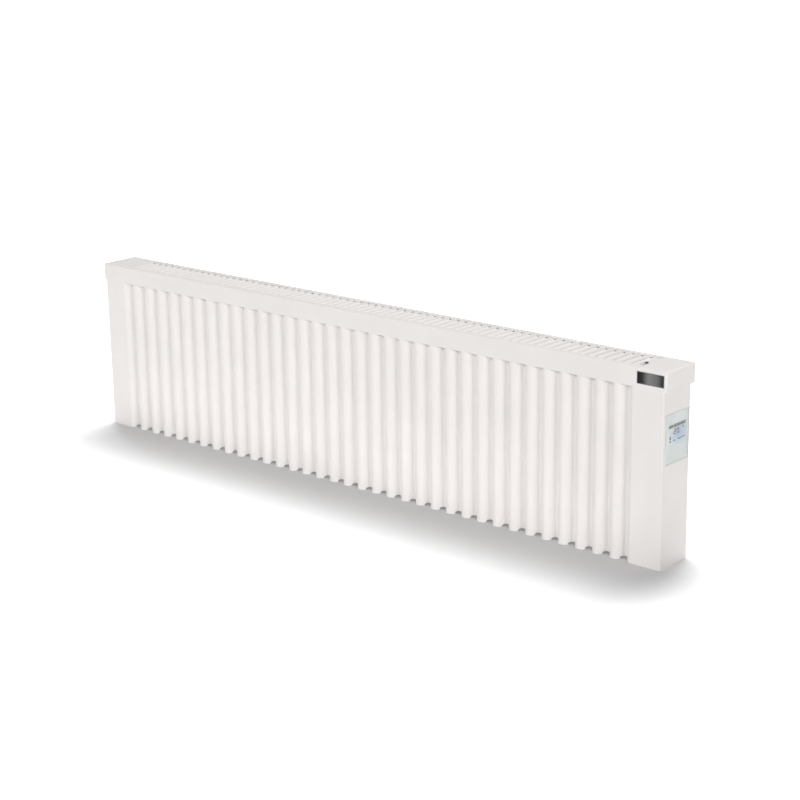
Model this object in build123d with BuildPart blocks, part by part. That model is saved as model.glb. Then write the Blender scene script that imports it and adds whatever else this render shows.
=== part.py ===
from build123d import *

import math
import os

# Wall-hung electric radiator with a clay storage core, all sizes in millimetres.
# X runs along the length with the thermostat at +X, the room is at -Y and the wall at +Y, Z is up.
# The origin is the middle of the footprint, including the brackets that reach to the wall.

# Casing
cap_length = 1290.0
cap_depth = 80.0
height = 320.0
cap_height = 32.0
cap_sheet = 1.2
cap_corner_radius = 4.0
cap_edge_radius = 2.5
cap_end_overhang = 5.0
cap_front_overhang = 0.5
cap_rear_overhang = 5.5
cap_front_flange = 14.0
cap_rear_flange = 6.0
cap_end_flange = 17.0
casing_sheet = 1.0
front_corner_radius = 3.0
rear_corner_radius = 2.0
rear_return = 13.0
wall_gap = 20.0

# Flutes of the front
flute_pitch = 33.6
flute_depth = 12.5
flute_crest_radius = 9.0
flute_valley_radius = 4.0
flute_crest_flat = 1.0
flute_valley_flat = 1.0
flute_end_flat = 50.0
flute_shift = -3.5
notch_width = 15.0
notch_height = 4.0
notch_radius = 3.5

# Stiffening beads of the rear panel
bead_pitch = 67.2
bead_depth = 4.0
bead_crest_radius = 3.0
bead_valley_radius = 3.0
bead_crest_flat = 8.0
bead_run = 8.0
bead_end_margin = 60.0
rear_end_gap = 1.2
base_screw_inner_step = 3

# Top grille
grille_cap_margin = 53.0
grille_front_margin = 11.0
grille_rear_margin = 3.5
grille_sheet = 1.2
grille_gap = 0.6
grille_ledge = 4.0
grille_slot_pitch = 16.8
grille_slot_width = 5.0
grille_slot_margin = 5.0
grille_end_margin = 10.0
louvre_width = 4.5
louvre_height = 2.0
louvre_front_lap = 4.0
louvre_rear_gap = 12.0

# Grille catch
catch_y_offset = 15.0
catch_tab = 4.0
catch_length = 18.0
catch_stem = 3.0
catch_bite = 4.0
catch_release = 1.0
catch_tongue = 1.5
catch_gap = 0.25
hook_y_offset = 16.0
hook_width = 10.0

# Base tray
base_height = 12.0
base_sheet = 1.0
base_flange = 12.0
base_gap = 0.3
base_slot_length = 56.0
base_slot_width = 6.0
base_slot_pitch = 72.0
base_slot_rows = 3
base_slot_row_pitch = 15.0

# Storage core
plate_count = 6
core_depth_room = 24.5
core_top_room = 29.5
plate_joint = 2.0
core_left_room = 54.0
core_right_room = 18.0
core_tray_sheet = 1.5
core_tray_wall = 18.0
core_gap = 0.3
foot_height = 24.0
post_width = 30.0
post_sheet = 1.5
clamp_width = 24.0
clamp_sheet = 1.5
clamp_lip = 12.0
lug_width = 14.0
lug_height = 10.0
lug_lift = 2.0

# Heating elements
element_radius = 4.0
element_leg_spacing = 50.0
element_edge = 25.0
element_gap = 0.3
element_overrun = 4.0
element_tail = 2.0
pin_radius = 1.5
pin_length = 8.0

# Heat shield of the control end
control_room = 70.0
shield_sheet = 1.0
shield_foot = 11.0
insulation_thick = 6.0
bush_radius = 7.0
bush_flange_radius = 9.5
bush_flange = 3.0
bush_length = 13.0
bush_fit = 0.1

# Thermostat
glass_front_margin = 6.25
glass_rear_margin = 3.75
glass_height = 80.0
glass_thick = 2.0
glass_proud = 0.8
glass_radius = 1.5
glass_fit = 0.3
glass_chamfer = 0.4
glass_drop = 78.5
stat_tray_depth = 22.0
stat_tray_wall = 1.6
stat_tray_rim = 1.2
stat_tray_inset = 1.0
lcd_margin = 5.0
lcd_height = 38.0
lcd_thick = 4.0
lcd_lift = 5.5
lcd_gap = 0.2
board_thick = 1.6
board_margin = 3.0
board_setback = 10.0
spacer_radius = 2.5
spacer_inset = 5.0

# Power electronics behind the thermostat
power_board_width = 50.0
power_board_top_gap = 10.5
power_board_bottom = 60.0
power_board_inset = 5.0
power_spacer_length = 6.0
relay_share = 0.3
relay_thick = 14.0
supply_length = 26.0
supply_share = 0.28
supply_thick = 12.5
relay_chamfer = 0.8
ribbon_width = 8.0
ribbon_thick = 0.8
ribbon_bend = 3.0
ribbon_rise = 15.0
ribbon_run = 6.0

# Terminals and wiring
terminal_length = 28.0
terminal_depth = 18.0
terminal_height = 20.0
terminal_shift = 26.0
terminal_hole_radius = 1.5
terminal_hole_depth = 3.0
lead_radius = 1.2
lead_bend = 5.5
lead_fit = 0.1
lead_first_run = 7.0
lead_step = 4.0
supply_lead_spread = 2.0
supply_lead_height = 32.0
supply_lead_step = 7.0
supply_lead_y_step = 4.0
sensor_lead_drop = 48.5
sensor_lead_step = 20.0
sensor_lead_inset = 14.0

# Thermal cut-out
cutout_radius = 8.0
cutout_length = 12.0
cutout_drop = 20.0
reset_radius = 2.5
reset_length = 6.0
reset_stick_out = 3.0
reset_travel = 2.0
reset_gap = 0.08
reset_end_gap = 0.4
reset_chamfer = 0.5
cutout_flange_radius = 11.0
cutout_flange = 1.5

# Mains switch in the base tray
switch_length = 21.0
switch_depth = 15.0
switch_flange = 2.0
switch_wall = 1.6
switch_body_height = 16.0
switch_end_margin = 33.0
switch_rear_margin = 10.5
switch_cut_gap = 0.2
rocker_end_gap = 0.9
rocker_side_gap = 0.5
rocker_pivot_lift = 1.0
rocker_top = 3.0
rocker_middle = 4.0
rocker_tip = 6.0
rocker_tilt = 8.0
rocker_pin_radius = 1.2
rocker_pin_length = 1.2
rocker_pin_fit = 0.05

# Gland, earth stud and room sensor in the base tray
gland_end_margin = 10.0
gland_rear_margin = 12.5
gland_thread_radius = 6.0
gland_bore_radius = 3.5
gland_hex_radius = 8.0
gland_head = 9.0
gland_nut = 4.0
gland_stem = 6.0
gland_fit = 0.1
gland_chamfer = 1.0
earth_shift = 7.0
earth_rear_margin = 10.5
earth_radius = 2.0
earth_length = 14.0
earth_nut_radius = 4.0
earth_nut_height = 3.2
earth_head = 2.0
earth_fit = 0.1
sensor_shift = 7.0
sensor_front_margin = 10.0
sensor_radius = 2.5
sensor_length = 24.0
sensor_drop = 9.0
grommet_radius = 5.0
grommet_lip = 1.5
grommet_groove_radius = 4.0
grommet_fit = 0.05

# Wall brackets
bracket_width = 40.0
bracket_sheet = 2.0
bracket_end_margin = 15.0
bracket_top_margin = 19.5
bracket_hole_radius = 3.25
bracket_hole_drop = 25.5
bracket_hole_spacing = 140.0
bracket_arm_width = 16.0
bracket_arm_sheet = 2.5
bracket_arm_drop = 37.5
bracket_hook = 11.0
bracket_hook_gap = 1.0
bracket_slot_gap = 0.3
bracket_slot_height = 16.0
bracket_foot_rise = 34.0
bracket_pad = 24.0
buffer_radius = 8.0
buffer_thick = 4.0

# Screws
screw_radius = 1.9
screw_head_radius = 3.8
screw_head = 1.8
screw_length = 7.0
screw_fit = 0.1
screw_slot = 1.0
screw_slot_depth = 0.9
casing_screw_margin = 30.0

# Plate on the cap front
badge_length = 50.0
badge_height = 20.0
badge_thick = 0.8
badge_end_margin = 5.5

# Planes that the pieces share
total_depth = cap_depth + wall_gap
cap_front_y = -total_depth / 2
cap_back_y = cap_front_y + cap_depth
cap_middle_y = (cap_front_y + cap_back_y) / 2
wall_y = total_depth / 2
cap_end_x = cap_length / 2
cap_bottom_z = height - cap_height
end_x = cap_end_x - cap_end_overhang
end_inner_x = end_x - casing_sheet
front_y = cap_front_y + cap_front_overhang
back_y = cap_back_y - cap_rear_overhang
valley_inner_y = front_y + flute_depth + casing_sheet
rear_outer_y = back_y - casing_sheet
rear_inner_y = rear_outer_y - casing_sheet
base_top = base_height + base_sheet
shield_x = end_x - control_room
insulation_x = shield_x + shield_sheet
control_x = insulation_x + insulation_thick
core_y = (valley_inner_y + rear_inner_y) / 2
plate_thick = (rear_inner_y - valley_inner_y - core_depth_room) / 2
core_front_y = core_y - plate_thick
core_back_y = core_y + plate_thick
core_left_x = -end_x + core_left_room
core_right_x = shield_x - core_right_room
tray_bottom = base_top + foot_height
plate_bottom = tray_bottom + core_tray_sheet
plate_top = cap_bottom_z - core_top_room
plate_height = plate_top - plate_bottom
plate_length = (core_right_x - core_left_x - (plate_count - 1) * plate_joint) / plate_count
plate_xs = [core_left_x + i * (plate_length + plate_joint) for i in range(plate_count)]
bead_count = 2 * math.floor((end_x - bead_end_margin) / bead_pitch)
bracket_x = (bead_count / 2 - 2) * bead_pitch
bracket_arm_height = cap_bottom_z - bracket_arm_drop
post_x = (bead_count / 2 - 1) * bead_pitch
post_xs = [-post_x, 0, post_x]
glass_width = back_y - front_y - glass_front_margin - glass_rear_margin
glass_middle_y = back_y - glass_rear_margin - glass_width / 2
glass_centre_z = cap_bottom_z - glass_drop
switch_x = end_inner_x - switch_end_margin
switch_y = rear_inner_y - switch_rear_margin
gland_x = end_inner_x - gland_end_margin
gland_y = rear_inner_y - gland_rear_margin
earth_x = control_x + earth_shift
earth_y = rear_inner_y - earth_rear_margin
sensor_x = control_x + sensor_shift
sensor_y = valley_inner_y + sensor_front_margin

os.makedirs("parts", exist_ok=True)


def save(builder, name):
    builder.part.label = name
    export_step(builder.part, f"parts/{name}.step")
    print(f"{name}: {len(builder.part.solids())} solids, {builder.part.volume / 1000:.2f} cm3")


def around(middle, size):
    """The two ends of a span of the given size about its middle."""
    return (middle - size / 2, middle + size / 2)


def block(x_span, y_span, z_span, mode=Mode.ADD):
    """A box between pairs of planes."""
    spans = (x_span, y_span, z_span)
    with Locations(tuple(sum(span) / 2 for span in spans)):
        Box(*[abs(span[1] - span[0]) for span in spans], mode=mode)


def round_bar(start, radius, length, axis, mode=Mode.ADD):
    """A cylinder that runs from a point along X, Y or Z, backwards for a negative length."""
    turn = {"X": (0, 90, 0), "Y": (-90, 0, 0), "Z": (0, 0, 0)}[axis]
    shift = {"X": (length / 2, 0, 0), "Y": (0, length / 2, 0), "Z": (0, 0, length / 2)}[axis]
    with Locations(tuple(a + b for a, b in zip(start, shift))):
        Cylinder(radius, abs(length), rotation=turn, mode=mode)


def rear_screws(spots):
    """Pan head screws seated on surfaces that face the wall, with slotted heads."""
    for x, y, z in spots:
        round_bar((x, y, z), screw_head_radius, screw_head, "Y")
        round_bar((x, y, z), screw_radius, -screw_length, "Y")
        block(around(x, 2 * screw_head_radius), (y + screw_head - screw_slot_depth, y + screw_head),
              around(z, screw_slot), Mode.SUBTRACT)


def lead(points):
    """One insulated lead along a route with rounded corners."""
    with BuildPart() as wire:
        with BuildLine() as route:
            FilletPolyline(*points, radius=lead_bend)
        with BuildSketch(Plane(origin=route.line @ 0, z_dir=route.line % 0)):
            Circle(lead_radius)
        sweep()
    return wire.part


def flank_angle(run, depth, radii):
    """Slope of the straight flank that joins a crest arc to a valley arc."""
    reach = math.hypot(sum(radii) - depth, run)
    return math.atan2(run, sum(radii) - depth) - math.acos(sum(radii) / reach)


def slope(x_crest, x_valley, crest_y, inward, depth, radii, skin):
    """Crest arc, flank and valley arc of a pressed sheet, skin deep below its outer face."""
    side = math.copysign(1, x_valley - x_crest)
    angle = flank_angle(abs(x_valley - x_crest), depth, radii)
    crest_radius = radii[0] - skin
    valley_radius = radii[1] + skin
    crest_centre_y = crest_y + inward * radii[0]
    valley_centre_y = crest_y + inward * (depth - radii[1])

    def on_crest(turn):
        return (x_crest + side * crest_radius * math.sin(turn),
                crest_centre_y - inward * crest_radius * math.cos(turn))

    def in_valley(turn):
        return (x_valley - side * valley_radius * math.sin(turn),
                valley_centre_y + inward * valley_radius * math.cos(turn))

    ThreePointArc(on_crest(0), on_crest(angle / 2), on_crest(angle))
    Line(on_crest(angle), in_valley(angle))
    ThreePointArc(in_valley(angle), in_valley(angle / 2), in_valley(0))


valley_count = math.floor((2 * end_x - 2 * flute_end_flat) / flute_pitch)
valley_xs = [flute_shift + (i - (valley_count - 1) / 2) * flute_pitch for i in range(valley_count)]
flute_radii = (flute_crest_radius, flute_valley_radius)
crest_start = (flute_pitch - flute_crest_flat) / 2
fluted_end_x = valley_count * flute_pitch / 2

# One flute of the front sheet, from the middle of a crest to the middle of the next
with BuildSketch() as flute:
    with BuildLine():
        for skin in (0, casing_sheet):
            crest_y = front_y + skin
            valley_y = crest_y + flute_depth
            for side in (-1, 1):
                Line((side * flute_pitch / 2, crest_y), (side * crest_start, crest_y))
                slope(side * crest_start, side * flute_valley_flat / 2, front_y, 1,
                      flute_depth, flute_radii, skin)
            Line((-flute_valley_flat / 2, valley_y), (flute_valley_flat / 2, valley_y))
        for side in (-1, 1):
            Line((side * flute_pitch / 2, front_y), (side * flute_pitch / 2, front_y + casing_sheet))
    make_face()


def shell_end(start_x):
    """The flat end of the sheet from its last crest, with bent corner, end wall and rear return."""
    with BuildSketch() as end:
        with BuildLine():
            for skin in (0, casing_sheet):
                FilletPolyline((start_x, front_y + skin), (end_x - skin, front_y + skin),
                               (end_x - skin, back_y - skin), (end_x - rear_return, back_y - skin),
                               radius=(front_corner_radius - skin, rear_corner_radius - skin))
            Line((start_x, front_y), (start_x, front_y + casing_sheet))
            Line((end_x - rear_return, back_y), (end_x - rear_return, back_y - casing_sheet))
        make_face()
    return end.sketch


casing_screw_x = end_x - rear_return / 2
casing_screw_zs = [casing_screw_margin, cap_bottom_z / 2, cap_bottom_z - casing_screw_margin]
casing_screw_spots = [(side * casing_screw_x, back_y, z) for side in (-1, 1) for z in casing_screw_zs]

# Front shell: fluted sheet bent round both ends, with arched notches at the feet of the valleys
with BuildPart() as front_shell:
    with BuildSketch():
        with Locations(*[(x, 0) for x in valley_xs]):
            add(flute.sketch)
        add(shell_end(fluted_end_x + flute_shift))
        add(shell_end(fluted_end_x - flute_shift).mirror(Plane.YZ))
    extrude(amount=cap_bottom_z)
    with BuildSketch(Plane.XZ.offset(-valley_inner_y)):
        with Locations(*[(x, 0) for x in valley_xs]):
            RectangleRounded(notch_width, 2 * notch_height, notch_radius)
    extrude(amount=flute_depth + casing_sheet, mode=Mode.SUBTRACT)
    with BuildSketch(Plane.YZ.offset(end_inner_x)):
        with Locations((glass_middle_y, glass_centre_z)):
            RectangleRounded(glass_width + 2 * glass_fit, glass_height + 2 * glass_fit,
                             glass_radius + glass_fit)
    extrude(amount=casing_sheet, mode=Mode.SUBTRACT)
    with BuildSketch(Plane.XZ.offset(-back_y)):
        with Locations(*[(x, z) for x, y, z in casing_screw_spots]):
            Circle(screw_radius + screw_fit)
    extrude(amount=casing_sheet, mode=Mode.SUBTRACT)
save(front_shell, "front_shell")

bead_xs = [(i - (bead_count - 1) / 2) * bead_pitch for i in range(bead_count)]
bead_radii = (bead_crest_radius, bead_valley_radius)
bead_half = bead_crest_flat / 2 + bead_run
beaded_end_x = bead_count * bead_pitch / 2
rear_end_x = end_inner_x - rear_end_gap
bead_top_y = rear_outer_y + bead_depth

# One bead of the rear sheet with half of the flat stretch on each side
with BuildSketch() as bead:
    with BuildLine():
        for skin in (0, casing_sheet):
            flat_y = rear_outer_y - skin
            for side in (-1, 1):
                Line((side * bead_pitch / 2, flat_y), (side * bead_half, flat_y))
                slope(side * bead_crest_flat / 2, side * bead_half, bead_top_y, -1,
                      bead_depth, bead_radii, skin)
            Line((-bead_crest_flat / 2, flat_y + bead_depth), (bead_crest_flat / 2, flat_y + bead_depth))
        for side in (-1, 1):
            Line((side * bead_pitch / 2, rear_outer_y), (side * bead_pitch / 2, rear_inner_y))
    make_face()

base_screw_spots = [(side * step * bead_pitch, rear_outer_y, base_top + base_flange / 2)
                    for side in (-1, 1) for step in (base_screw_inner_step, bead_count / 2)]

# Rear panel: beaded sheet behind the returns of the shell, with slots for the bracket hooks
with BuildPart() as rear_panel:
    with BuildSketch():
        with Locations(*[(x, 0) for x in bead_xs]):
            add(bead.sketch)
        with Locations(*[(side * (beaded_end_x + rear_end_x) / 2, rear_inner_y + casing_sheet / 2)
                         for side in (-1, 1)]):
            Rectangle(rear_end_x - beaded_end_x, casing_sheet)
    extrude(amount=cap_bottom_z)
    with BuildSketch(Plane.XZ.offset(-rear_outer_y)):
        with Locations(*[(side * bracket_x, bracket_arm_height) for side in (-1, 1)]):
            Rectangle(bracket_arm_width + 2 * bracket_slot_gap, bracket_slot_height,
                      align=(Align.CENTER, Align.MAX))
        with Locations(*[(x, z) for x, y, z in casing_screw_spots + base_screw_spots]):
            Circle(screw_radius + screw_fit)
    extrude(amount=casing_sheet, mode=Mode.SUBTRACT)
save(rear_panel, "rear_panel")

grille_length = cap_length - 2 * grille_cap_margin
grille_front_y = cap_front_y + grille_front_margin
grille_back_y = cap_back_y - grille_rear_margin
grille_middle_y = (grille_front_y + grille_back_y) / 2
grille_depth = grille_back_y - grille_front_y
grille_top = height - louvre_height
grille_bottom = grille_top - grille_sheet
ledge_bottom = grille_bottom - cap_sheet
ledge_inner_x = grille_length / 2 - grille_ledge
badge_middle_x = cap_end_x - badge_end_margin - badge_length / 2
badge_middle_z = cap_bottom_z + cap_height / 2
lug_bottom = cap_bottom_z + cap_sheet + lug_lift
cap_screw_spots = [(x, cap_back_y, lug_bottom + lug_height / 2) for x in post_xs]

# Top cap: folded box with a ledge round the grille opening
with BuildPart() as top_cap:
    with BuildSketch(Plane.XY.offset(cap_bottom_z)):
        with Locations((0, cap_middle_y)):
            RectangleRounded(cap_length, cap_depth, cap_corner_radius)
    extrude(amount=cap_height)
    fillet(top_cap.faces().sort_by(Axis.Z)[-1].edges(), cap_edge_radius)
    with BuildSketch(Plane.XY.offset(cap_bottom_z + cap_sheet)):
        with Locations((0, cap_middle_y)):
            RectangleRounded(cap_length - 2 * cap_sheet, cap_depth - 2 * cap_sheet,
                             cap_corner_radius - cap_sheet)
    extrude(amount=cap_height - 2 * cap_sheet, mode=Mode.SUBTRACT)
    block((-cap_end_x + cap_end_flange, cap_end_x - cap_end_flange),
          (cap_front_y + cap_front_flange, cap_back_y - cap_rear_flange),
          (cap_bottom_z, cap_bottom_z + cap_sheet), Mode.SUBTRACT)
    block(around(0, grille_length + 2 * cap_sheet), around(grille_middle_y, grille_depth + 2 * cap_sheet),
          (ledge_bottom, height - cap_sheet))
    block(around(0, grille_length), around(grille_middle_y, grille_depth),
          (grille_bottom, height), Mode.SUBTRACT)
    block(around(0, 2 * ledge_inner_x), around(grille_middle_y, grille_depth - 2 * grille_ledge),
          (ledge_bottom, grille_bottom), Mode.SUBTRACT)
    for spot in cap_screw_spots:
        round_bar(spot, screw_radius + screw_fit, -cap_sheet, "Y", Mode.SUBTRACT)
    block(around(badge_middle_x, badge_length), (cap_front_y, cap_front_y + badge_thick),
          around(badge_middle_z, badge_height), Mode.SUBTRACT)
save(top_cap, "top_cap")

# Plate on the cap front, let in flush
with BuildPart() as badge_plate:
    block(around(badge_middle_x, badge_length), (cap_front_y, cap_front_y + badge_thick),
          around(badge_middle_z, badge_height))
save(badge_plate, "badge_plate")

slot_count = math.floor((grille_length - 2 * grille_end_margin) / grille_slot_pitch)
slot_xs = [(i - (slot_count - 1) / 2) * grille_slot_pitch for i in range(slot_count)]
slot_length = grille_depth - 2 * grille_gap - 2 * grille_slot_margin
louvre_front_y = grille_middle_y - slot_length / 2 - louvre_front_lap
louvre_back_y = grille_middle_y + slot_length / 2 - louvre_rear_gap
catch_travel = catch_bite + catch_release
catch_x = ledge_inner_x - 2 * catch_gap - catch_tab / 2
catch_y = grille_front_y + catch_y_offset
catch_slot = (catch_x - catch_tab / 2 - catch_travel - catch_gap, catch_x + catch_tab / 2 + catch_gap)
tongue_top = ledge_bottom - catch_gap
tongue_bottom = tongue_top - catch_tongue
hook_end_x = -ledge_inner_x + catch_gap

# Top grille: slotted sheet with a raised louvre beside each slot, hooked under the cap's ledge at its left end
with BuildPart() as top_grille:
    with BuildSketch(Plane.XY.offset(grille_bottom)):
        with Locations((0, grille_middle_y)):
            Rectangle(grille_length - 2 * grille_gap, grille_depth - 2 * grille_gap)
        with Locations(*[(x, grille_middle_y) for x in slot_xs]):
            SlotOverall(slot_length, grille_slot_width, rotation=90, mode=Mode.SUBTRACT)
        with Locations((sum(catch_slot) / 2, catch_y)):
            Rectangle(catch_slot[1] - catch_slot[0], catch_stem + 2 * catch_gap, mode=Mode.SUBTRACT)
    extrude(amount=grille_sheet)
    with BuildSketch(Plane.XZ.offset(-louvre_front_y)):
        with Locations(*[(x + grille_slot_width / 2, grille_top) for x in slot_xs]):
            Polygon((0, 0), (louvre_width, 0), (0, louvre_height), align=None)
    extrude(amount=louvre_front_y - louvre_back_y)
    for offset_y in (-hook_y_offset, hook_y_offset):
        hook_y = around(grille_middle_y + offset_y, hook_width)
        block((hook_end_x, hook_end_x + catch_stem), hook_y, (tongue_bottom, grille_bottom))
        block((hook_end_x - catch_bite, hook_end_x + catch_stem), hook_y, (tongue_bottom, tongue_top))
save(top_grille, "top_grille")

# Grille catch: thumb tab above the sheet, stem through its slot and a tongue under the ledge
with BuildPart() as grille_catch:
    block(around(catch_x, catch_tab), around(catch_y, catch_length), (grille_top + catch_gap, height))
    block(around(catch_x, catch_tab), around(catch_y, catch_stem), (tongue_bottom, grille_top + catch_gap))
    block((catch_x - catch_tab / 2, ledge_inner_x + catch_bite), around(catch_y, catch_tab),
          (tongue_bottom, tongue_top))
save(grille_catch, "grille_catch")

base_front_y = valley_inner_y + base_gap
base_end_x = end_inner_x - base_gap
base_slot_count = math.floor((shield_x - shield_foot - core_left_x) / base_slot_pitch)
base_slot_middle_x = (shield_x - shield_foot + core_left_x) / 2
switch_body_length = switch_length - 2 * switch_wall
switch_body_depth = switch_depth - 2 * switch_wall

# Base tray: slotted sheet between the shell's ends, screwed to the rear panel
with BuildPart() as base_tray:
    with BuildSketch(Plane.XY.offset(base_height)):
        with Locations((0, (base_front_y + rear_inner_y) / 2)):
            Rectangle(2 * base_end_x, rear_inner_y - base_front_y)
        with Locations(*[(base_slot_middle_x + (i - (base_slot_count - 1) / 2) * base_slot_pitch,
                          core_y + (j - (base_slot_rows - 1) / 2) * base_slot_row_pitch)
                         for i in range(base_slot_count) for j in range(base_slot_rows)]):
            SlotOverall(base_slot_length, base_slot_width, mode=Mode.SUBTRACT)
        with Locations((switch_x, switch_y)):
            Rectangle(switch_body_length + 2 * switch_cut_gap, switch_body_depth + 2 * switch_cut_gap,
                      mode=Mode.SUBTRACT)
        with Locations((gland_x, gland_y)):
            Circle(gland_thread_radius + gland_fit, mode=Mode.SUBTRACT)
        with Locations((sensor_x, sensor_y)):
            Circle(grommet_groove_radius + grommet_fit, mode=Mode.SUBTRACT)
        with Locations((earth_x, earth_y)):
            Circle(earth_radius + earth_fit, mode=Mode.SUBTRACT)
    extrude(amount=base_sheet)
    for y_span in ((base_front_y, base_front_y + base_sheet), (rear_inner_y - base_sheet, rear_inner_y)):
        block((-base_end_x, base_end_x), y_span, (base_top, base_top + base_flange))
    for x, y, z in base_screw_spots:
        round_bar((x, rear_inner_y, z), screw_radius + screw_fit, -base_sheet, "Y", Mode.SUBTRACT)
save(base_tray, "base_tray")

leg_middle_z = plate_bottom + plate_height / 2
element_pair_spacing = plate_height - 2 * element_edge - element_leg_spacing
pair_zs = [leg_middle_z + side * element_pair_spacing / 2 for side in (-1, 1)]
leg_zs = [z + side * element_leg_spacing / 2 for z in pair_zs for side in (-1, 1)]
groove_radius = element_radius + element_gap


def clay_plates(y_start):
    """A row of clay plates with half-round grooves for the element legs."""
    with BuildPart() as plates:
        for x in plate_xs:
            with BuildSketch(Plane.YZ.offset(x)):
                with Locations((y_start + plate_thick / 2, plate_bottom + plate_height / 2)):
                    Rectangle(plate_thick, plate_height)
                with Locations(*[(core_y, z) for z in leg_zs]):
                    Circle(groove_radius, mode=Mode.SUBTRACT)
            extrude(amount=plate_length)
    return plates


save(clay_plates(core_front_y), "clay_plates_front")
save(clay_plates(core_y), "clay_plates_rear")

tray_y_span = (core_front_y - core_gap - core_tray_sheet, core_back_y + core_gap + core_tray_sheet)
tray_x_span = (core_left_x - element_overrun, core_right_x + element_overrun)

# Core tray: channel that carries the clay plates
with BuildPart() as core_tray:
    block(tray_x_span, tray_y_span, (tray_bottom, plate_bottom + core_tray_wall))
    block(tray_x_span, (core_front_y - core_gap, core_back_y + core_gap),
          (plate_bottom, plate_bottom + core_tray_wall), Mode.SUBTRACT)
save(core_tray, "core_tray")

post_bottom = base_top + base_flange
post_shoulder = cap_bottom_z - post_sheet
post_front_y = tray_y_span[1] + core_gap
post_web_y = rear_inner_y - post_sheet

# Core posts: channels on the rear panel with a foot under the core tray and a lug for the cap screw
with BuildPart() as core_posts:
    for x in post_xs:
        block(around(x, post_width), (post_front_y, rear_inner_y), (post_bottom, post_shoulder))
        block(around(x, post_width - 2 * post_sheet), (post_front_y, post_web_y),
              (post_bottom, post_shoulder), Mode.SUBTRACT)
        block(around(x, post_width), (tray_y_span[0], post_web_y), (tray_bottom - post_sheet, tray_bottom))
        block(around(x, lug_width), (post_web_y, rear_inner_y), (post_shoulder, lug_bottom + lug_height))
        block(around(x, lug_width), (rear_inner_y, cap_back_y - cap_sheet),
              (lug_bottom, lug_bottom + lug_height))
    for x, y, z in cap_screw_spots:
        round_bar((x, y, z), screw_radius + screw_fit, -screw_length - cap_sheet, "Y", Mode.SUBTRACT)
save(core_posts, "core_posts")

# Core clamps: straps from the posts over the top of the plates
with BuildPart() as core_clamps:
    for x in post_xs:
        clamp_x = around(x, clamp_width)
        clamp_front_y = core_front_y - core_gap - clamp_sheet
        block(clamp_x, (clamp_front_y, post_web_y), (plate_top, plate_top + clamp_sheet))
        block(clamp_x, (clamp_front_y, core_front_y - core_gap), (plate_top - clamp_lip, plate_top))
        block(clamp_x, (post_web_y - clamp_sheet, post_web_y),
              (plate_top + clamp_sheet, plate_top + clamp_sheet + clamp_lip))
save(core_clamps, "core_clamps")

bend_x = core_left_x - element_overrun
leg_end_x = shield_x - bush_flange + bush_length + element_tail
pin_end_x = leg_end_x + pin_length


def heating_element(middle_z):
    """Hairpin rod through the grooves of the plates, with a terminal pin on each leg."""
    low_z, high_z = around(middle_z, element_leg_spacing)
    with BuildPart() as element:
        with BuildLine():
            Line((leg_end_x, core_y, low_z), (bend_x, core_y, low_z))
            ThreePointArc((bend_x, core_y, low_z), (bend_x - element_leg_spacing / 2, core_y, middle_z),
                          (bend_x, core_y, high_z))
            Line((bend_x, core_y, high_z), (leg_end_x, core_y, high_z))
        with BuildSketch(Plane(origin=(leg_end_x, core_y, low_z), z_dir=(-1, 0, 0))):
            Circle(element_radius)
        sweep()
        for z in (low_z, high_z):
            round_bar((leg_end_x, core_y, z), pin_radius, pin_length, "X")
    return element


save(heating_element(pair_zs[0]), "heating_element_lower")
save(heating_element(pair_zs[1]), "heating_element_upper")

shield_y_span = (base_front_y + base_sheet + base_gap, rear_inner_y - base_sheet - base_gap)
shield_z_span = (base_top, cap_bottom_z - shield_sheet)

# Heat shield between the core and the control end, standing on the base tray
with BuildPart() as heat_shield:
    block((shield_x, insulation_x), shield_y_span, shield_z_span)
    block((shield_x - shield_foot, shield_x), shield_y_span, (base_top, base_top + shield_sheet))
    for z in leg_zs:
        round_bar((shield_x, core_y, z), bush_radius + bush_fit, shield_sheet, "X", Mode.SUBTRACT)
save(heat_shield, "heat_shield")

# Insulation board on the control side of the shield
with BuildPart() as insulation_board:
    block((insulation_x, control_x), shield_y_span, shield_z_span)
    for z in leg_zs:
        round_bar((insulation_x, core_y, z), bush_radius + bush_fit, insulation_thick, "X", Mode.SUBTRACT)
save(insulation_board, "insulation_board")

# Ceramic bushes that lead the element legs through the shield
with BuildPart() as ceramic_bushes:
    for z in leg_zs:
        round_bar((shield_x - bush_flange, core_y, z), bush_flange_radius, bush_flange, "X")
        round_bar((shield_x, core_y, z), bush_radius, bush_length - bush_flange, "X")
    for z in leg_zs:
        round_bar((shield_x - bush_flange, core_y, z), element_radius + bush_fit, bush_length, "X",
                  Mode.SUBTRACT)
save(ceramic_bushes, "ceramic_bushes")

glass_front_x = end_x + glass_proud
glass_back_x = glass_front_x - glass_thick
stat_floor_x = glass_back_x - stat_tray_depth
stat_width = glass_width - 2 * stat_tray_inset
stat_height = glass_height - 2 * stat_tray_inset
rim_grow = 2 * (glass_fit + stat_tray_rim)
room_width = stat_width - 2 * stat_tray_wall
room_height = stat_height - 2 * stat_tray_wall
stat_bottom_z = glass_centre_z - stat_height / 2

# Thermostat glass, let into the end wall and slightly proud of it
with BuildPart() as display_glass:
    with BuildSketch(Plane.YZ.offset(glass_back_x)):
        with Locations((glass_middle_y, glass_centre_z)):
            RectangleRounded(glass_width, glass_height, glass_radius)
    extrude(amount=glass_thick)
    chamfer(display_glass.faces().sort_by(Axis.X)[-1].edges(), glass_chamfer)
save(display_glass, "display_glass")

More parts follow.
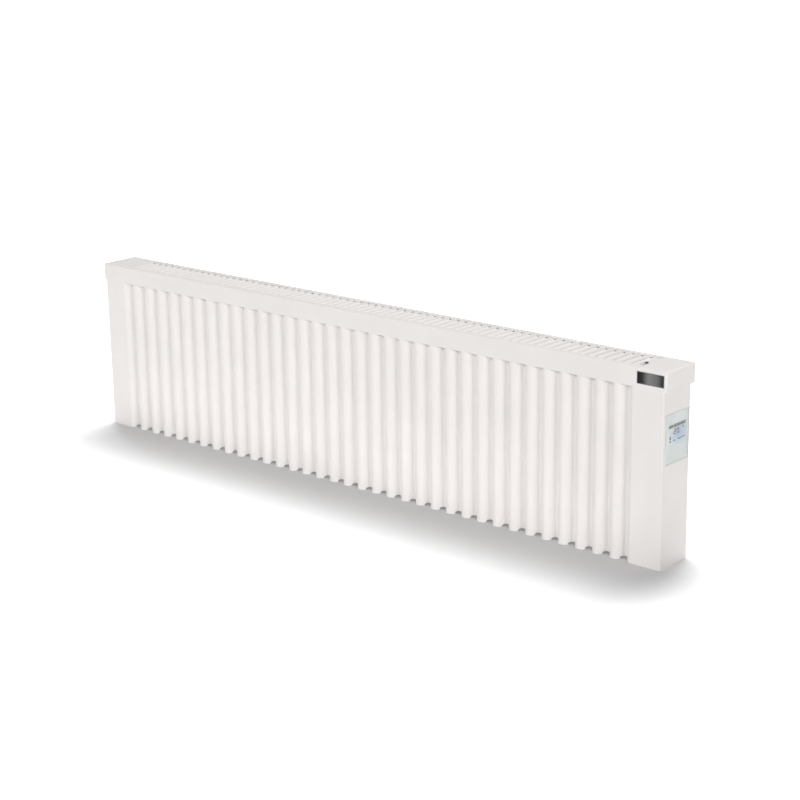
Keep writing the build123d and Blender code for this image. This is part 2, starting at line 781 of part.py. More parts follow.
# Thermostat tray behind the glass, with a rim behind the end wall
with BuildPart() as thermostat_tray:
    block((stat_floor_x, glass_back_x), around(glass_middle_y, stat_width),
          around(glass_centre_z, stat_height))
    block((glass_back_x - stat_tray_wall, glass_back_x), around(glass_middle_y, glass_width + rim_grow),
          around(glass_centre_z, glass_height + rim_grow))
    block((stat_floor_x + stat_tray_wall, glass_back_x), around(glass_middle_y, room_width),
          around(glass_centre_z, room_height), Mode.SUBTRACT)
save(thermostat_tray, "thermostat_tray")

lcd_width = glass_width - 2 * lcd_margin

# Display cell behind the glass
with BuildPart() as lcd_module:
    block((glass_back_x - lcd_gap - lcd_thick, glass_back_x - lcd_gap), around(glass_middle_y, lcd_width),
          around(glass_centre_z + lcd_lift, lcd_height))
save(lcd_module, "lcd_module")

board_x_span = (glass_back_x - board_setback - board_thick, glass_back_x - board_setback)
board_width = room_width - 2 * board_margin
board_height = room_height - 2 * board_margin

# Display board in the tray
with BuildPart() as display_board:
    block(board_x_span, around(glass_middle_y, board_width), around(glass_centre_z, board_height))
save(display_board, "display_board")

# Spacers between the tray's floor and the display board
with BuildPart() as board_spacers:
    for y in around(glass_middle_y, board_width - 2 * spacer_inset):
        for z in around(glass_centre_z, board_height - 2 * spacer_inset):
            round_bar((stat_floor_x + stat_tray_wall, y, z), spacer_radius,
                      board_x_span[0] - stat_floor_x - stat_tray_wall, "X")
save(board_spacers, "board_spacers")

power_x_span = (end_inner_x - power_board_inset - power_board_width, end_inner_x - power_board_inset)
power_z_span = (power_board_bottom, stat_bottom_z - power_board_top_gap)
power_board_height = power_z_span[1] - power_z_span[0]
power_back_y = rear_inner_y - power_spacer_length
power_front_y = power_back_y - board_thick
power_middle_x = sum(power_x_span) / 2

# Power board along the rear panel
with BuildPart() as power_board:
    block(power_x_span, (power_front_y, power_back_y), power_z_span)
save(power_board, "power_board")

# Spacers between the power board and the rear panel
with BuildPart() as power_board_spacers:
    for x in around(power_middle_x, power_board_width - 2 * spacer_inset):
        for z in around(sum(power_z_span) / 2, power_board_height - 2 * spacer_inset):
            round_bar((x, power_back_y, z), spacer_radius, power_spacer_length, "Y")
save(power_board_spacers, "power_board_spacers")

relay_size = relay_share * power_board_height
supply_height = supply_share * power_board_height

# Relay and supply block soldered to the power board
with BuildPart() as relay:
    block(around(power_middle_x, relay_size), (power_front_y - relay_thick, power_front_y),
          around(power_z_span[1] - spacer_inset - relay_size, relay_size))
    chamfer(relay.faces().sort_by(Axis.Y)[0].edges(), relay_chamfer)
save(relay, "relay")

with BuildPart() as supply_block:
    block(around(power_middle_x, supply_length), (power_front_y - supply_thick, power_front_y),
          around(power_z_span[0] + spacer_inset + supply_height / 2 + spacer_radius, supply_height))
    chamfer(supply_block.faces().sort_by(Axis.Y)[0].edges(), relay_chamfer)
save(supply_block, "supply_block")

ribbon_top_z = stat_bottom_z + ribbon_rise
ribbon_x = stat_floor_x - ribbon_run
ribbon_y = power_back_y - board_thick / 2

# Ribbon between the thermostat tray and the power board's upper edge
with BuildPart() as display_ribbon:
    with BuildSketch(Plane.XZ.offset(-ribbon_y)):
        with BuildLine():
            FilletPolyline((stat_floor_x, ribbon_top_z), (ribbon_x, ribbon_top_z),
                           (ribbon_x, power_z_span[1]), radius=ribbon_bend)
        trace(line_width=ribbon_thick)
    extrude(amount=ribbon_width / 2, both=True)
save(display_ribbon, "display_ribbon")

terminal_x = control_x + terminal_shift
terminal_top = base_top + terminal_height
lead_xs = [pin_end_x + lead_first_run + i * lead_step for i in range(len(leg_zs))]
supply_lead_x = lead_xs[-1] + lead_step + lead_radius

# Terminal block on the base tray, with a row of screw holes
with BuildPart() as terminal_block:
    block(around(terminal_x, terminal_length), around(core_y, terminal_depth), (base_top, terminal_top))
    for x in lead_xs:
        round_bar((x, core_y - terminal_depth / 3, terminal_top), terminal_hole_radius,
                  -terminal_hole_depth, "Z", Mode.SUBTRACT)
save(terminal_block, "terminal_block")

# Leads from the element pins down to the terminal block
with BuildPart() as element_leads:
    for x, z in zip(lead_xs, leg_zs):
        add(lead([(pin_end_x, core_y, z), (x, core_y, z), (x, core_y, terminal_top)]))
save(element_leads, "element_leads")

# Leads from the gland to the terminal block
with BuildPart() as supply_leads:
    for i, side in enumerate((-1, 1)):
        start_x = gland_x + side * supply_lead_spread
        lead_top = base_top + supply_lead_height + i * supply_lead_step
        lead_y = core_y - side * supply_lead_y_step
        add(lead([(start_x, gland_y, base_top), (start_x, gland_y, lead_top),
                  (supply_lead_x, lead_y, lead_top), (supply_lead_x, lead_y, terminal_top)]))
save(supply_leads, "supply_leads")

cutout_face_x = control_x + cutout_length
cutout_height = cap_bottom_z - cutout_drop
reset_bore = reset_length - reset_stick_out + reset_travel + reset_end_gap

# Thermal cut-out on the insulation board, with the bore of its reset button
with BuildPart() as thermal_cutout:
    round_bar((control_x, core_y, cutout_height), cutout_radius, cutout_length, "X")
    round_bar((control_x, core_y, cutout_height), cutout_flange_radius, cutout_flange, "X")
    round_bar((cutout_face_x, core_y, cutout_height), reset_radius + reset_gap, -reset_bore, "X",
              Mode.SUBTRACT)
save(thermal_cutout, "thermal_cutout")

with BuildPart() as cutout_reset_button:
    round_bar((cutout_face_x + reset_stick_out, core_y, cutout_height), reset_radius, -reset_length, "X")
    chamfer(cutout_reset_button.faces().sort_by(Axis.X)[-1].edges(), reset_chamfer)
save(cutout_reset_button, "cutout_reset_button")

pivot_z = base_height + rocker_pivot_lift
cavity_length = switch_body_length - 2 * switch_wall
cavity_depth = switch_body_depth - 2 * switch_wall
rocker_half = cavity_length / 2 - rocker_end_gap
rocker_width = cavity_depth - 2 * rocker_side_gap
pin_reach = rocker_width + 2 * (rocker_side_gap + rocker_pin_length)
tilt = math.radians(rocker_tilt)

# Mains switch: body through the base tray with its flange below
with BuildPart() as mains_switch_body:
    block(around(switch_x, switch_length), around(switch_y, switch_depth),
          (base_height - switch_flange, base_height))
    block(around(switch_x, switch_body_length), around(switch_y, switch_body_depth),
          (base_height, base_height + switch_body_height))
    block(around(switch_x, cavity_length), around(switch_y, cavity_depth),
          (base_height - switch_flange, base_height + switch_body_height - switch_wall), Mode.SUBTRACT)
    round_bar((switch_x, switch_y - pin_reach / 2 - rocker_pin_fit, pivot_z),
              rocker_pin_radius + rocker_pin_fit, pin_reach + 2 * rocker_pin_fit, "Y", Mode.SUBTRACT)
save(mains_switch_body, "mains_switch_body")

rocker_plane = Plane(origin=(switch_x, switch_y, pivot_z),
                     x_dir=(math.cos(tilt), 0, math.sin(tilt)), z_dir=(0, -1, 0))

# Rocker, tilted to its first position about the pins at its sides
with BuildPart() as mains_switch_rocker:
    with BuildSketch(rocker_plane):
        with BuildLine():
            Polyline((-rocker_half, rocker_top), (rocker_half, rocker_top), (rocker_half, -rocker_tip),
                     (0, -rocker_middle), (-rocker_half, -rocker_tip), close=True)
        make_face()
    extrude(amount=rocker_width / 2, both=True)
    with BuildSketch(rocker_plane):
        Circle(rocker_pin_radius)
    extrude(amount=pin_reach / 2, both=True)
save(mains_switch_rocker, "mains_switch_rocker")

# Cable gland through the base tray: a bore for the supply cord from below, then a hole for each lead
with BuildPart() as cable_gland:
    with BuildSketch(Plane.XY.offset(base_height - gland_head)):
        with Locations((gland_x, gland_y)):
            RegularPolygon(gland_hex_radius, 6)
    extrude(amount=gland_head)
    chamfer(cable_gland.faces().sort_by(Axis.Z)[0].edges(), gland_chamfer)
    round_bar((gland_x, gland_y, base_height), gland_thread_radius, base_sheet + gland_stem, "Z")
    round_bar((gland_x, gland_y, base_height - gland_head), gland_bore_radius, gland_head + base_sheet,
              "Z", Mode.SUBTRACT)
    for x in around(gland_x, 2 * supply_lead_spread):
        round_bar((x, gland_y, base_top), lead_radius + lead_fit, gland_stem, "Z", Mode.SUBTRACT)
save(cable_gland, "cable_gland")

with BuildPart() as gland_lock_nut:
    with BuildSketch(Plane.XY.offset(base_top)):
        with Locations((gland_x, gland_y)):
            RegularPolygon(gland_hex_radius, 6)
            Circle(gland_thread_radius + gland_fit, mode=Mode.SUBTRACT)
    extrude(amount=gland_nut)
save(gland_lock_nut, "gland_lock_nut")

# Earth stud with its nut, headed below the base tray
with BuildPart() as earth_stud:
    round_bar((earth_x, earth_y, base_height), earth_radius, earth_length, "Z")
    round_bar((earth_x, earth_y, base_height), earth_nut_radius, -earth_head, "Z")
save(earth_stud, "earth_stud")

with BuildPart() as earth_nut:
    with BuildSketch(Plane.XY.offset(base_top)):
        with Locations((earth_x, earth_y)):
            RegularPolygon(earth_nut_radius, 6)
            Circle(earth_radius + earth_fit, mode=Mode.SUBTRACT)
    extrude(amount=earth_nut_height)
save(earth_nut, "earth_nut")

sensor_bottom = base_height - sensor_drop
sensor_top = sensor_bottom + sensor_length

# Room sensor below the control end, held by a rubber grommet in the base tray
with BuildPart() as room_sensor:
    round_bar((sensor_x, sensor_y, sensor_bottom), sensor_radius, sensor_length, "Z")
    fillet(room_sensor.faces().sort_by(Axis.Z)[0].edges(), sensor_radius / 2)
save(room_sensor, "room_sensor")

with BuildPart() as sensor_grommet:
    round_bar((sensor_x, sensor_y, base_height), grommet_groove_radius, base_sheet, "Z")
    round_bar((sensor_x, sensor_y, base_height), grommet_radius, -grommet_lip, "Z")
    round_bar((sensor_x, sensor_y, base_top), grommet_radius, grommet_lip, "Z")
    round_bar((sensor_x, sensor_y, base_height - grommet_lip), sensor_radius + grommet_fit,
              base_sheet + 2 * grommet_lip, "Z", Mode.SUBTRACT)
save(sensor_grommet, "sensor_grommet")

sensor_lead_z = stat_bottom_z - sensor_lead_drop
sensor_lead_x = glass_back_x - sensor_lead_inset
sensor_route = [(sensor_x, sensor_y, sensor_top), (sensor_x, sensor_y, sensor_lead_z),
                (sensor_lead_x, sensor_y, sensor_lead_z + sensor_lead_step),
                (sensor_lead_x, sensor_y, stat_bottom_z)]

# Lead from the room sensor up to the thermostat tray
with BuildPart() as sensor_lead:
    add(lead(sensor_route))
save(sensor_lead, "sensor_lead")

hook_back_y = rear_inner_y - bracket_hook_gap
hook_front_y = hook_back_y - bracket_sheet
pad_front_y = rear_outer_y + buffer_thick
bracket_hole_top = bracket_arm_height - bracket_hole_drop
bracket_hole_zs = [bracket_hole_top - bracket_hole_spacing, bracket_hole_top]
bracket_z_span = (bracket_hole_zs[0] - bracket_end_margin, bracket_arm_height + bracket_top_margin)
bracket_foot_height = bracket_hole_zs[0] + bracket_foot_rise


def wall_bracket(x):
    """Wall plate with an upper arm hooked into the rear panel and a lower arm with a buffer pad."""
    arm_x = around(x, bracket_arm_width)
    arm_z = (bracket_arm_height - bracket_arm_sheet, bracket_arm_height)
    with BuildPart() as bracket:
        block(around(x, bracket_width), (wall_y - bracket_sheet, wall_y), bracket_z_span)
        block(arm_x, (hook_front_y, wall_y - bracket_sheet), arm_z)
        block(arm_x, (hook_front_y, hook_back_y), (bracket_arm_height, bracket_arm_height + bracket_hook))
        block(around(x, bracket_pad), (pad_front_y, pad_front_y + bracket_sheet),
              around(bracket_foot_height, bracket_pad))
        block(arm_x, (pad_front_y + bracket_sheet, wall_y - bracket_sheet),
              around(bracket_foot_height, bracket_arm_sheet))
        for z in bracket_hole_zs:
            round_bar((x, wall_y, z), bracket_hole_radius, -bracket_sheet, "Y", Mode.SUBTRACT)
    return bracket


save(wall_bracket(-bracket_x), "wall_bracket_left")
save(wall_bracket(bracket_x), "wall_bracket_right")

# Rubber buffers between the lower arms and the rear panel
with BuildPart() as wall_buffers:
    for side in (-1, 1):
        round_bar((side * bracket_x, rear_outer_y, bracket_foot_height), buffer_radius, buffer_thick, "Y")
save(wall_buffers, "wall_buffers")

# Screws of the shell's returns, the base tray and the cap
with BuildPart() as casing_screws:
    rear_screws(casing_screw_spots)
save(casing_screws, "casing_screws")

with BuildPart() as base_screws:
    rear_screws(base_screw_spots)
save(base_screws, "base_screws")

with BuildPart() as cap_screws:
    rear_screws(cap_screw_spots)
save(cap_screws, "cap_screws")
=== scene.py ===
# %% [markdown]
# A low, long electric radiator that hangs on a wall: a fluted white front, a slotted grille in
# the top cap, and a glass-faced thermostat on its right end. The solids come from the CAD
# model, so this lesson only dresses them: it adds the finishes, the thin printed and inlaid
# pieces, the light and the camera. Everything is in metres and in the CAD model's own frame: X
# along the length, the room at -Y, the wall at +Y and Z up.

# %% Load the CAD model as the fixed frame
import math

import bmesh
import bpy
from mathutils import Matrix, Vector


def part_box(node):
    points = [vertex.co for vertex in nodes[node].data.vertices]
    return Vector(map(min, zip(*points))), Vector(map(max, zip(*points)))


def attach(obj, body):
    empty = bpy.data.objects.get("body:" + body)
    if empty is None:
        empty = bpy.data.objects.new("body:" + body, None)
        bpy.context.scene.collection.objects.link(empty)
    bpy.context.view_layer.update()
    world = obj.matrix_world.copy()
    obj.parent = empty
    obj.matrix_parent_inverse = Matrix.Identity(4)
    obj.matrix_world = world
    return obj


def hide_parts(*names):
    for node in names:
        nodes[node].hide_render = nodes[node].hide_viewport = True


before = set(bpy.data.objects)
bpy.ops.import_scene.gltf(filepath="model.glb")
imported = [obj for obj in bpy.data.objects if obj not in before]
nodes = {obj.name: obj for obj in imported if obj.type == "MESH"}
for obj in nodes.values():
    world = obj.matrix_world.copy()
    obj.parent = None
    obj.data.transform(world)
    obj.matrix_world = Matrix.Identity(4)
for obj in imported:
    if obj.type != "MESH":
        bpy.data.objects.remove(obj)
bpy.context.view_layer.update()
bpy.ops.object.select_all(action="DESELECT")
scene = bpy.context.scene
scene.view_settings.view_transform = "Standard"

# %% [markdown]
# The camera stands to the right of the radiator, a little above its top, with a longish lens.
# Its place was worked out from the straight edges of the casing, so it is given as a point, a
# direction and a small roll. The rotation is built from the three axes of the camera, which is
# safer than stacking up angles.

# %% Camera
azimuth, elevation, roll = (math.radians(a) for a in (41.153, 16.254, -0.828))
camera_place = Vector((2.142363, -2.374420, 1.081155))
backwards = Vector((math.sin(azimuth) * math.cos(elevation),
                    -math.cos(azimuth) * math.cos(elevation),
                    math.sin(elevation)))
level_right = (-backwards).cross(Vector((0, 0, 1))).normalized()
level_up = level_right.cross(-backwards)
right = math.cos(roll) * level_right + math.sin(roll) * level_up
up = math.cos(roll) * level_up - math.sin(roll) * level_right

bpy.ops.object.camera_add()
camera = bpy.context.object
camera.name = "camera"
camera.data.sensor_width = 36.0
camera.data.lens = 85.17
camera.data.clip_end = 60.0
turn = Matrix((right, up, backwards)).transposed().to_4x4()
camera.matrix_world = Matrix.Translation(camera_place) @ turn
scene.camera = camera
print("Camera at", tuple(round(v, 3) for v in camera.location), "lens", camera.data.lens)

# %% [markdown]
# Finishes are node trees. One helper adds a node, sets what it is given and links what it is
# given: a name that is one of the node's sockets goes to the socket, any other name is a
# setting of the node, and stops are the colours of a colour ramp. A second helper turns the
# usual hex colours into the linear values that a shader works in, and a third starts a finish
# with its shader and its object coordinates.

# %% Helpers that start a finish
def linear(hex_colour):
    """An sRGB hex colour as linear red, green, blue and alpha."""
    channels = [int(hex_colour[i:i + 2], 16) / 255 for i in (1, 3, 5)]
    return [c / 12.92 if c <= 0.04045 else ((c + 0.055) / 1.055) ** 2.4 for c in channels] + [1.0]


def add_node(tree, kind, settings=None, links=None, stops=()):
    """Adds one node, with its settings by name, its links by socket and its ramp's colours."""
    node = tree.nodes.new(kind)
    for name, value in (settings or {}).items():
        if isinstance(name, int) or name in node.inputs:
            node.inputs[name].default_value = value
        else:
            setattr(node, name, value)
    for index, (place, colour) in enumerate(stops):
        ramp = node.color_ramp.elements
        stop = ramp[index] if index < len(ramp) else ramp.new(place)
        stop.position, stop.color = place, linear(colour)
    for socket, output in (links or {}).items():
        tree.links.new(output, node.inputs[socket])
    return node


def per_metre(size_mm):
    """The texture scale at which one cell of a pattern is about this many millimetres wide."""
    return 1000.0 / size_mm


def start_finish(name, **sockets):
    """A new material with its shader's plain sockets set, its tree and its object coordinates."""
    material = bpy.data.materials.new(name)
    material.use_nodes = True
    tree = material.node_tree
    shader = tree.nodes["Principled BSDF"]
    for socket, value in sockets.items():
        shader.inputs[socket.replace("_", " ")].default_value = value
    coords = add_node(tree, "ShaderNodeTexCoord").outputs["Object"]
    return material, tree, shader, coords


print("Helpers ready: add_node, linear, per_metre, start_finish")

# %% [markdown]
# Most moulded, coated and fired surfaces differ in the same three ways: the colour drifts
# slowly between two near tones, the gloss varies with a fine grain, and that grain stands up a
# few hundredths of a millimetre. One helper lays these three on a finish, so that each finish
# only has to say its own sizes. Stretching the pattern along one axis turns the same grain into
# drawn or brushed lines.

# %% A drifting tone with a fine grain
MM = 0.001


def mottle(tree, shader, coords, colours, size_mm, roughness, grain_mm, depth_mm,
           stretch=(1, 1, 1)):
    """Drifts the colour between two tones, varies the roughness and raises a fine grain."""
    stretched = add_node(tree, "ShaderNodeMapping", {"Scale": stretch}, {"Vector": coords})
    vector = stretched.outputs["Vector"]
    drift = add_node(tree, "ShaderNodeTexNoise", {"Scale": per_metre(size_mm), "Detail": 4.0},
                     {"Vector": vector})
    tone = add_node(tree, "ShaderNodeValToRGB", links={"Fac": drift.outputs["Fac"]},
                    stops=list(zip((0.3, 0.7), colours)))
    grain = add_node(tree, "ShaderNodeTexNoise", {"Scale": per_metre(grain_mm), "Detail": 2.0},
                     {"Vector": vector})
    gloss = add_node(tree, "ShaderNodeMapRange", {"To Min": roughness[0], "To Max": roughness[1]},
                     {"Value": grain.outputs["Fac"]})
    relief = add_node(tree, "ShaderNodeBump", {"Strength": 1.0, "Distance": depth_mm * MM},
                      {"Height": grain.outputs["Fac"]})
    tree.links.new(tone.outputs["Color"], shader.inputs["Base Color"])
    tree.links.new(gloss.outputs["Result"], shader.inputs["Roughness"])
    tree.links.new(relief.outputs["Normal"], shader.inputs["Normal"])


def dress(finish, *names):
    """Gives a finish to CAD nodes."""
    for name in names:
        nodes[name].data.materials.clear()
        nodes[name].data.materials.append(finish)
    print(finish.name, "on", ", ".join(names))


print("Helpers ready: mottle, dress")

# %% [markdown]
# The casing is sheet steel with a baked polyester powder coat in warm white. Powder melts into
# a skin with a soft sheen and a faint orange peel, which breaks up the highlights on the
# flutes. The peel is really about a millimetre wide; here it is 3 mm, as coarse as it needs to
# be to show.

# %% Powder coat on the casing
powder_coat, tree, shader, coords = start_finish("powder_coat_white", IOR=1.5)
mottle(tree, shader, coords, ("#EFEBE9", "#F3EFED"), size_mm=70,
       roughness=(0.36, 0.46), grain_mm=3.0, depth_mm=0.02)
dress(powder_coat, "front_shell", "rear_panel", "top_cap", "top_grille", "base_tray")

# %% [markdown]
# The wall brackets, the heat shield and the frame of the core are galvanised sheet. Molten zinc
# freezes in flat crystals, the spangle, and each crystal reflects a little differently. A
# Voronoi pattern gives one random value per crystal, which picks its grey and its gloss. The
# cells are 7 mm.

# %% Galvanised sheet
galvanised, tree, shader, coords = start_finish("galvanised_sheet_steel", Metallic=1.0)
spangle = add_node(tree, "ShaderNodeTexVoronoi", {"Scale": per_metre(7.0)}, {"Vector": coords})
crystal = add_node(tree, "ShaderNodeSeparateColor", links={"Color": spangle.outputs["Color"]})
tone = add_node(tree, "ShaderNodeValToRGB", links={"Fac": crystal.outputs["Red"]},
                stops=[(0.0, "#B9BDC0"), (0.5, "#C6C9CC"), (1.0, "#D3D6D8")])
gloss = add_node(tree, "ShaderNodeMapRange", {"To Min": 0.32, "To Max": 0.5},
                 {"Value": crystal.outputs["Green"]})
tree.links.new(tone.outputs["Color"], shader.inputs["Base Color"])
tree.links.new(gloss.outputs["Result"], shader.inputs["Roughness"])
dress(galvanised, "core_tray", "core_posts", "core_clamps", "heat_shield",
      "wall_bracket_left", "wall_bracket_right")

# %% [markdown]
# The heat is stored in plates of chamotte, a coarse fire clay that is pressed and fired. Its
# colour runs from buff to brick red, and dark grains of burnt grog sit in it. A fine noise cut
# off by a steep ramp gives the grains, mixed over the drifting clay colour.

# %% Fired clay plates
chamotte, tree, shader, coords = start_finish("chamotte_fired_clay", IOR=1.5)
mottle(tree, shader, coords, ("#9C5B3E", "#B87B58"), size_mm=22,
       roughness=(0.82, 0.95), grain_mm=1.4, depth_mm=0.25)
clay = shader.inputs["Base Color"].links[0].from_socket
grog = add_node(tree, "ShaderNodeTexNoise", {"Scale": per_metre(2.2), "Detail": 1.0},
                {"Vector": coords})
speck = add_node(tree, "ShaderNodeMapRange", {"From Min": 0.62, "From Max": 0.68},
                 {"Value": grog.outputs["Fac"]})
speckled = add_node(tree, "ShaderNodeMix", {"data_type": "RGBA", 7: linear("#4A2C20")},
                    {"Factor": speck.outputs["Result"], 6: clay})
tree.links.new(speckled.outputs[2], shader.inputs["Base Color"])
dress(chamotte, "clay_plates_front", "clay_plates_rear")

# %% [markdown]
# The heating elements are drawn stainless tubes. Heat leaves a thin oxide on them, straw,
# bronze and blue by turns, so the colour comes from a ramp over a slow noise along the tube.
# Fine drawing lines run along the length, which the stretched grain gives.

# %% Heat-tinted element tubes
element_tube, tree, shader, coords = start_finish("stainless_tube_heat_tinted", Metallic=1.0)
mottle(tree, shader, coords, ("#8C7A62", "#6F6A70"), size_mm=45,
       roughness=(0.28, 0.42), grain_mm=0.8, depth_mm=0.01, stretch=(0.08, 1, 1))
heat = shader.inputs["Base Color"].links[0].from_node
for place, colour in ((0.45, "#9A7F4E"), (0.55, "#7B5A4C"), (0.62, "#5E6274")):
    stop = heat.color_ramp.elements.new(place)
    stop.color = linear(colour)
dress(element_tube, "heating_element_lower", "heating_element_upper")

# %% [markdown]
# Where the element ends pass through sheet steel, they sit in bushes of steatite, a dense
# unglazed ceramic that is pressed and fired: cream white, smooth, with a dull sheen. Behind
# them is a pressed calcium silicate board, a soft, chalky panel with short fibres that show as
# pale flecks.

# %% Ceramic bushes and insulation board
steatite, tree, shader, coords = start_finish("steatite_ceramic", IOR=1.6)
mottle(tree, shader, coords, ("#EAE4D6", "#F0EBDF"), size_mm=6,
       roughness=(0.45, 0.6), grain_mm=0.5, depth_mm=0.01)
dress(steatite, "ceramic_bushes")

silicate_board, tree, shader, coords = start_finish("calcium_silicate_board", IOR=1.5)
mottle(tree, shader, coords, ("#DAD4C4", "#E8E3D6"), size_mm=9,
       roughness=(0.85, 0.97), grain_mm=1.2, depth_mm=0.12, stretch=(1, 0.35, 1))
dress(silicate_board, "insulation_board")

# %% [markdown]
# The thermostat's carrier tray and the spacers of the boards are moulded ABS in light grey,
# with the fine spark-eroded texture that mould makers leave on faces nobody polishes. The
# switch housing and the cable gland are white polyamide, slightly waxier.

# %% Light mouldings
tray_abs, tree, shader, coords = start_finish("abs_moulded_light_grey", IOR=1.53)
mottle(tree, shader, coords, ("#E4E4E2", "#EAEAE8"), size_mm=30,
       roughness=(0.48, 0.62), grain_mm=0.8, depth_mm=0.02)
dress(tray_abs, "thermostat_tray", "board_spacers", "power_board_spacers")

polyamide, tree, shader, coords = start_finish("polyamide_moulded_white", IOR=1.53)
mottle(tree, shader, coords, ("#E6E4E0", "#ECEAE6"), size_mm=18,
       roughness=(0.38, 0.5), grain_mm=1.0, depth_mm=0.015)
dress(polyamide, "mains_switch_body", "cable_gland", "gland_lock_nut")

# %% [markdown]
# The rocker of the switch is polished polycarbonate, glossier than its housing because a finger
# has to slide over it. The reset button is the same plastic in signal red.

# %% Rocker and reset button
rocker_gloss, tree, shader, coords = start_finish("polycarbonate_glossy_white", IOR=1.58)
mottle(tree, shader, coords, ("#EBE9E5", "#F1EFEB"), size_mm=8,
       roughness=(0.16, 0.24), grain_mm=1.5, depth_mm=0.006)
dress(rocker_gloss, "mains_switch_rocker")

reset_red, tree, shader, coords = start_finish("polycarbonate_signal_red", IOR=1.58)
mottle(tree, shader, coords, ("#B3170F", "#C42318"), size_mm=3,
       roughness=(0.2, 0.3), grain_mm=0.8, depth_mm=0.006)
dress(reset_red, "cutout_reset_button")

# %% [markdown]
# Relay, power supply, terminal block and thermal cut-out are black PBT mouldings with a matt
# grain. The catch of the grille is glass-filled nylon, coloured pale at its front end and dark
# behind it. The dark part is painted shade, standing for the shadow in the catch's slit. A steep
# ramp along Y parts the two, and a little noise blurs the line between them.

# %% Dark mouldings and the catch with painted shade
black_pbt, tree, shader, coords = start_finish("pbt_moulded_black", IOR=1.55)
mottle(tree, shader, coords, ("#1E1F21", "#292A2C"), size_mm=7,
       roughness=(0.42, 0.58), grain_mm=0.6, depth_mm=0.02)
dress(black_pbt, "relay", "supply_block", "terminal_block", "thermal_cutout")

catch_nylon_painted_shade, tree, shader, coords = start_finish("glass_filled_nylon_painted_shade", IOR=1.53)
mottle(tree, shader, coords, ("#2A2A2B", "#3B3B3C"), size_mm=5,
       roughness=(0.5, 0.65), grain_mm=0.7, depth_mm=0.02, stretch=(1, 0.3, 1))
# Behind this Y the catch is coloured dark as painted shade, standing for the shadow in its slit.
shade_start_y, shade_blend_half = -23.5 * MM, 4 * MM
place = add_node(tree, "ShaderNodeSeparateXYZ", links={"Vector": coords})
pale_or_shade = add_node(tree, "ShaderNodeMapRange",
                {"From Min": shade_start_y - shade_blend_half, "From Max": shade_start_y + shade_blend_half},
                {"Value": place.outputs["Y"]})
edge_noise = add_node(tree, "ShaderNodeTexNoise", {"Scale": per_metre(1.5)}, {"Vector": coords})
blurred_shade_edge = add_node(tree, "ShaderNodeMath", {"operation": "MULTIPLY_ADD", 1: 0.1},
                   {0: edge_noise.outputs["Fac"], 2: pale_or_shade.outputs["Result"]})
tone = add_node(tree, "ShaderNodeValToRGB", links={"Fac": blurred_shade_edge.outputs["Value"]},
                stops=[(0.0, "#E2E0DE"), (0.5, "#D5D3D1"), (0.58, "#343435"), (1.0, "#262627")])
tree.links.new(tone.outputs["Color"], shader.inputs["Base Color"])
dress(catch_nylon_painted_shade, "grille_catch")

# %% [markdown]
# A circuit board is glass-epoxy laminate under green solder resist. Copper tracks lie under the
# resist and show as slightly paler, raised lanes. A brick pattern with long bricks gives the
# lanes on a 2.5 mm pitch, near the usual tenth of an inch, and its rows are offset, as tracks
# end anywhere.

# %% Circuit boards
solder_resist, tree, shader, coords = start_finish("solder_resist_green", IOR=1.55,
                                                   Roughness=0.32)
facing_x = (0, math.radians(90), 0)
lanes_place = add_node(tree, "ShaderNodeMapping", {"Rotation": facing_x}, {"Vector": coords})
lanes = add_node(tree, "ShaderNodeTexBrick",
                 {"Scale": per_metre(2.5), "Mortar Size": 0.12, "Mortar Smooth": 0.2,
                  "Brick Width": 5.0, "Row Height": 1.0, "offset": 0.37,
                  "Color1": linear("#0C5A34"), "Color2": linear("#127043"),
                  "Mortar": linear("#0A4227")},
                 {"Vector": lanes_place.outputs["Vector"]})
copper_thick = 0.035 * MM
relief = add_node(tree, "ShaderNodeBump",
                  {"Strength": 1.0, "Distance": copper_thick, "invert": True},
                  {"Height": lanes.outputs["Fac"]})
tree.links.new(lanes.outputs["Color"], shader.inputs["Base Color"])
tree.links.new(relief.outputs["Normal"], shader.inputs["Normal"])
dress(solder_resist, "display_board", "power_board")

# %% [markdown]
# A flat ribbon of parallel wires joins the two boards. Its PVC is pale grey, rounded over each
# wire, so it looks striped. A wave texture gives ridges at the wires' 1.27 mm pitch: one of its
# bands is pi / 10 wide at a scale of one. The same wave darkens the colour in the hollows
# between the wires, as painted shade.

# %% Ribbon cable
ribbon_pvc, tree, shader, coords = start_finish("pvc_ribbon_grey", IOR=1.53, Roughness=0.45)
wire_pitch, band_at_scale_one = 1.27, math.pi / 10
wires = add_node(tree, "ShaderNodeTexWave",
                 {"bands_direction": "Y", "Scale": per_metre(wire_pitch) * band_at_scale_one,
                  "Distortion": 0.0},
                 {"Vector": coords})
# The dark stop is painted shade in the hollows between the wires.
tone = add_node(tree, "ShaderNodeValToRGB", links={"Fac": wires.outputs["Fac"]},
                stops=[(0.0, "#9A9A97"), (0.5, "#C9C9C6"), (1.0, "#D8D8D5")])
relief = add_node(tree, "ShaderNodeBump", {"Strength": 1.0, "Distance": 0.2 * MM},
                  {"Height": wires.outputs["Fac"]})
tree.links.new(tone.outputs["Color"], shader.inputs["Base Color"])
tree.links.new(relief.outputs["Normal"], shader.inputs["Normal"])
dress(ribbon_pvc, "display_ribbon")

# %% [markdown]
# The leads inside are silicone, which stands the heat: brick red and matt, with a slightly
# dusty skin. The buffers against the wall and the sensor's grommet are black EPDM rubber,
# duller still, with a bloom that shows as slow grey patches.

# %% Silicone and rubber
silicone, tree, shader, coords = start_finish("silicone_lead_brick_red", IOR=1.43)
mottle(tree, shader, coords, ("#8E3A2C", "#9E4636"), size_mm=12,
       roughness=(0.55, 0.7), grain_mm=0.6, depth_mm=0.01)
dress(silicone, "element_leads", "supply_leads", "sensor_lead")

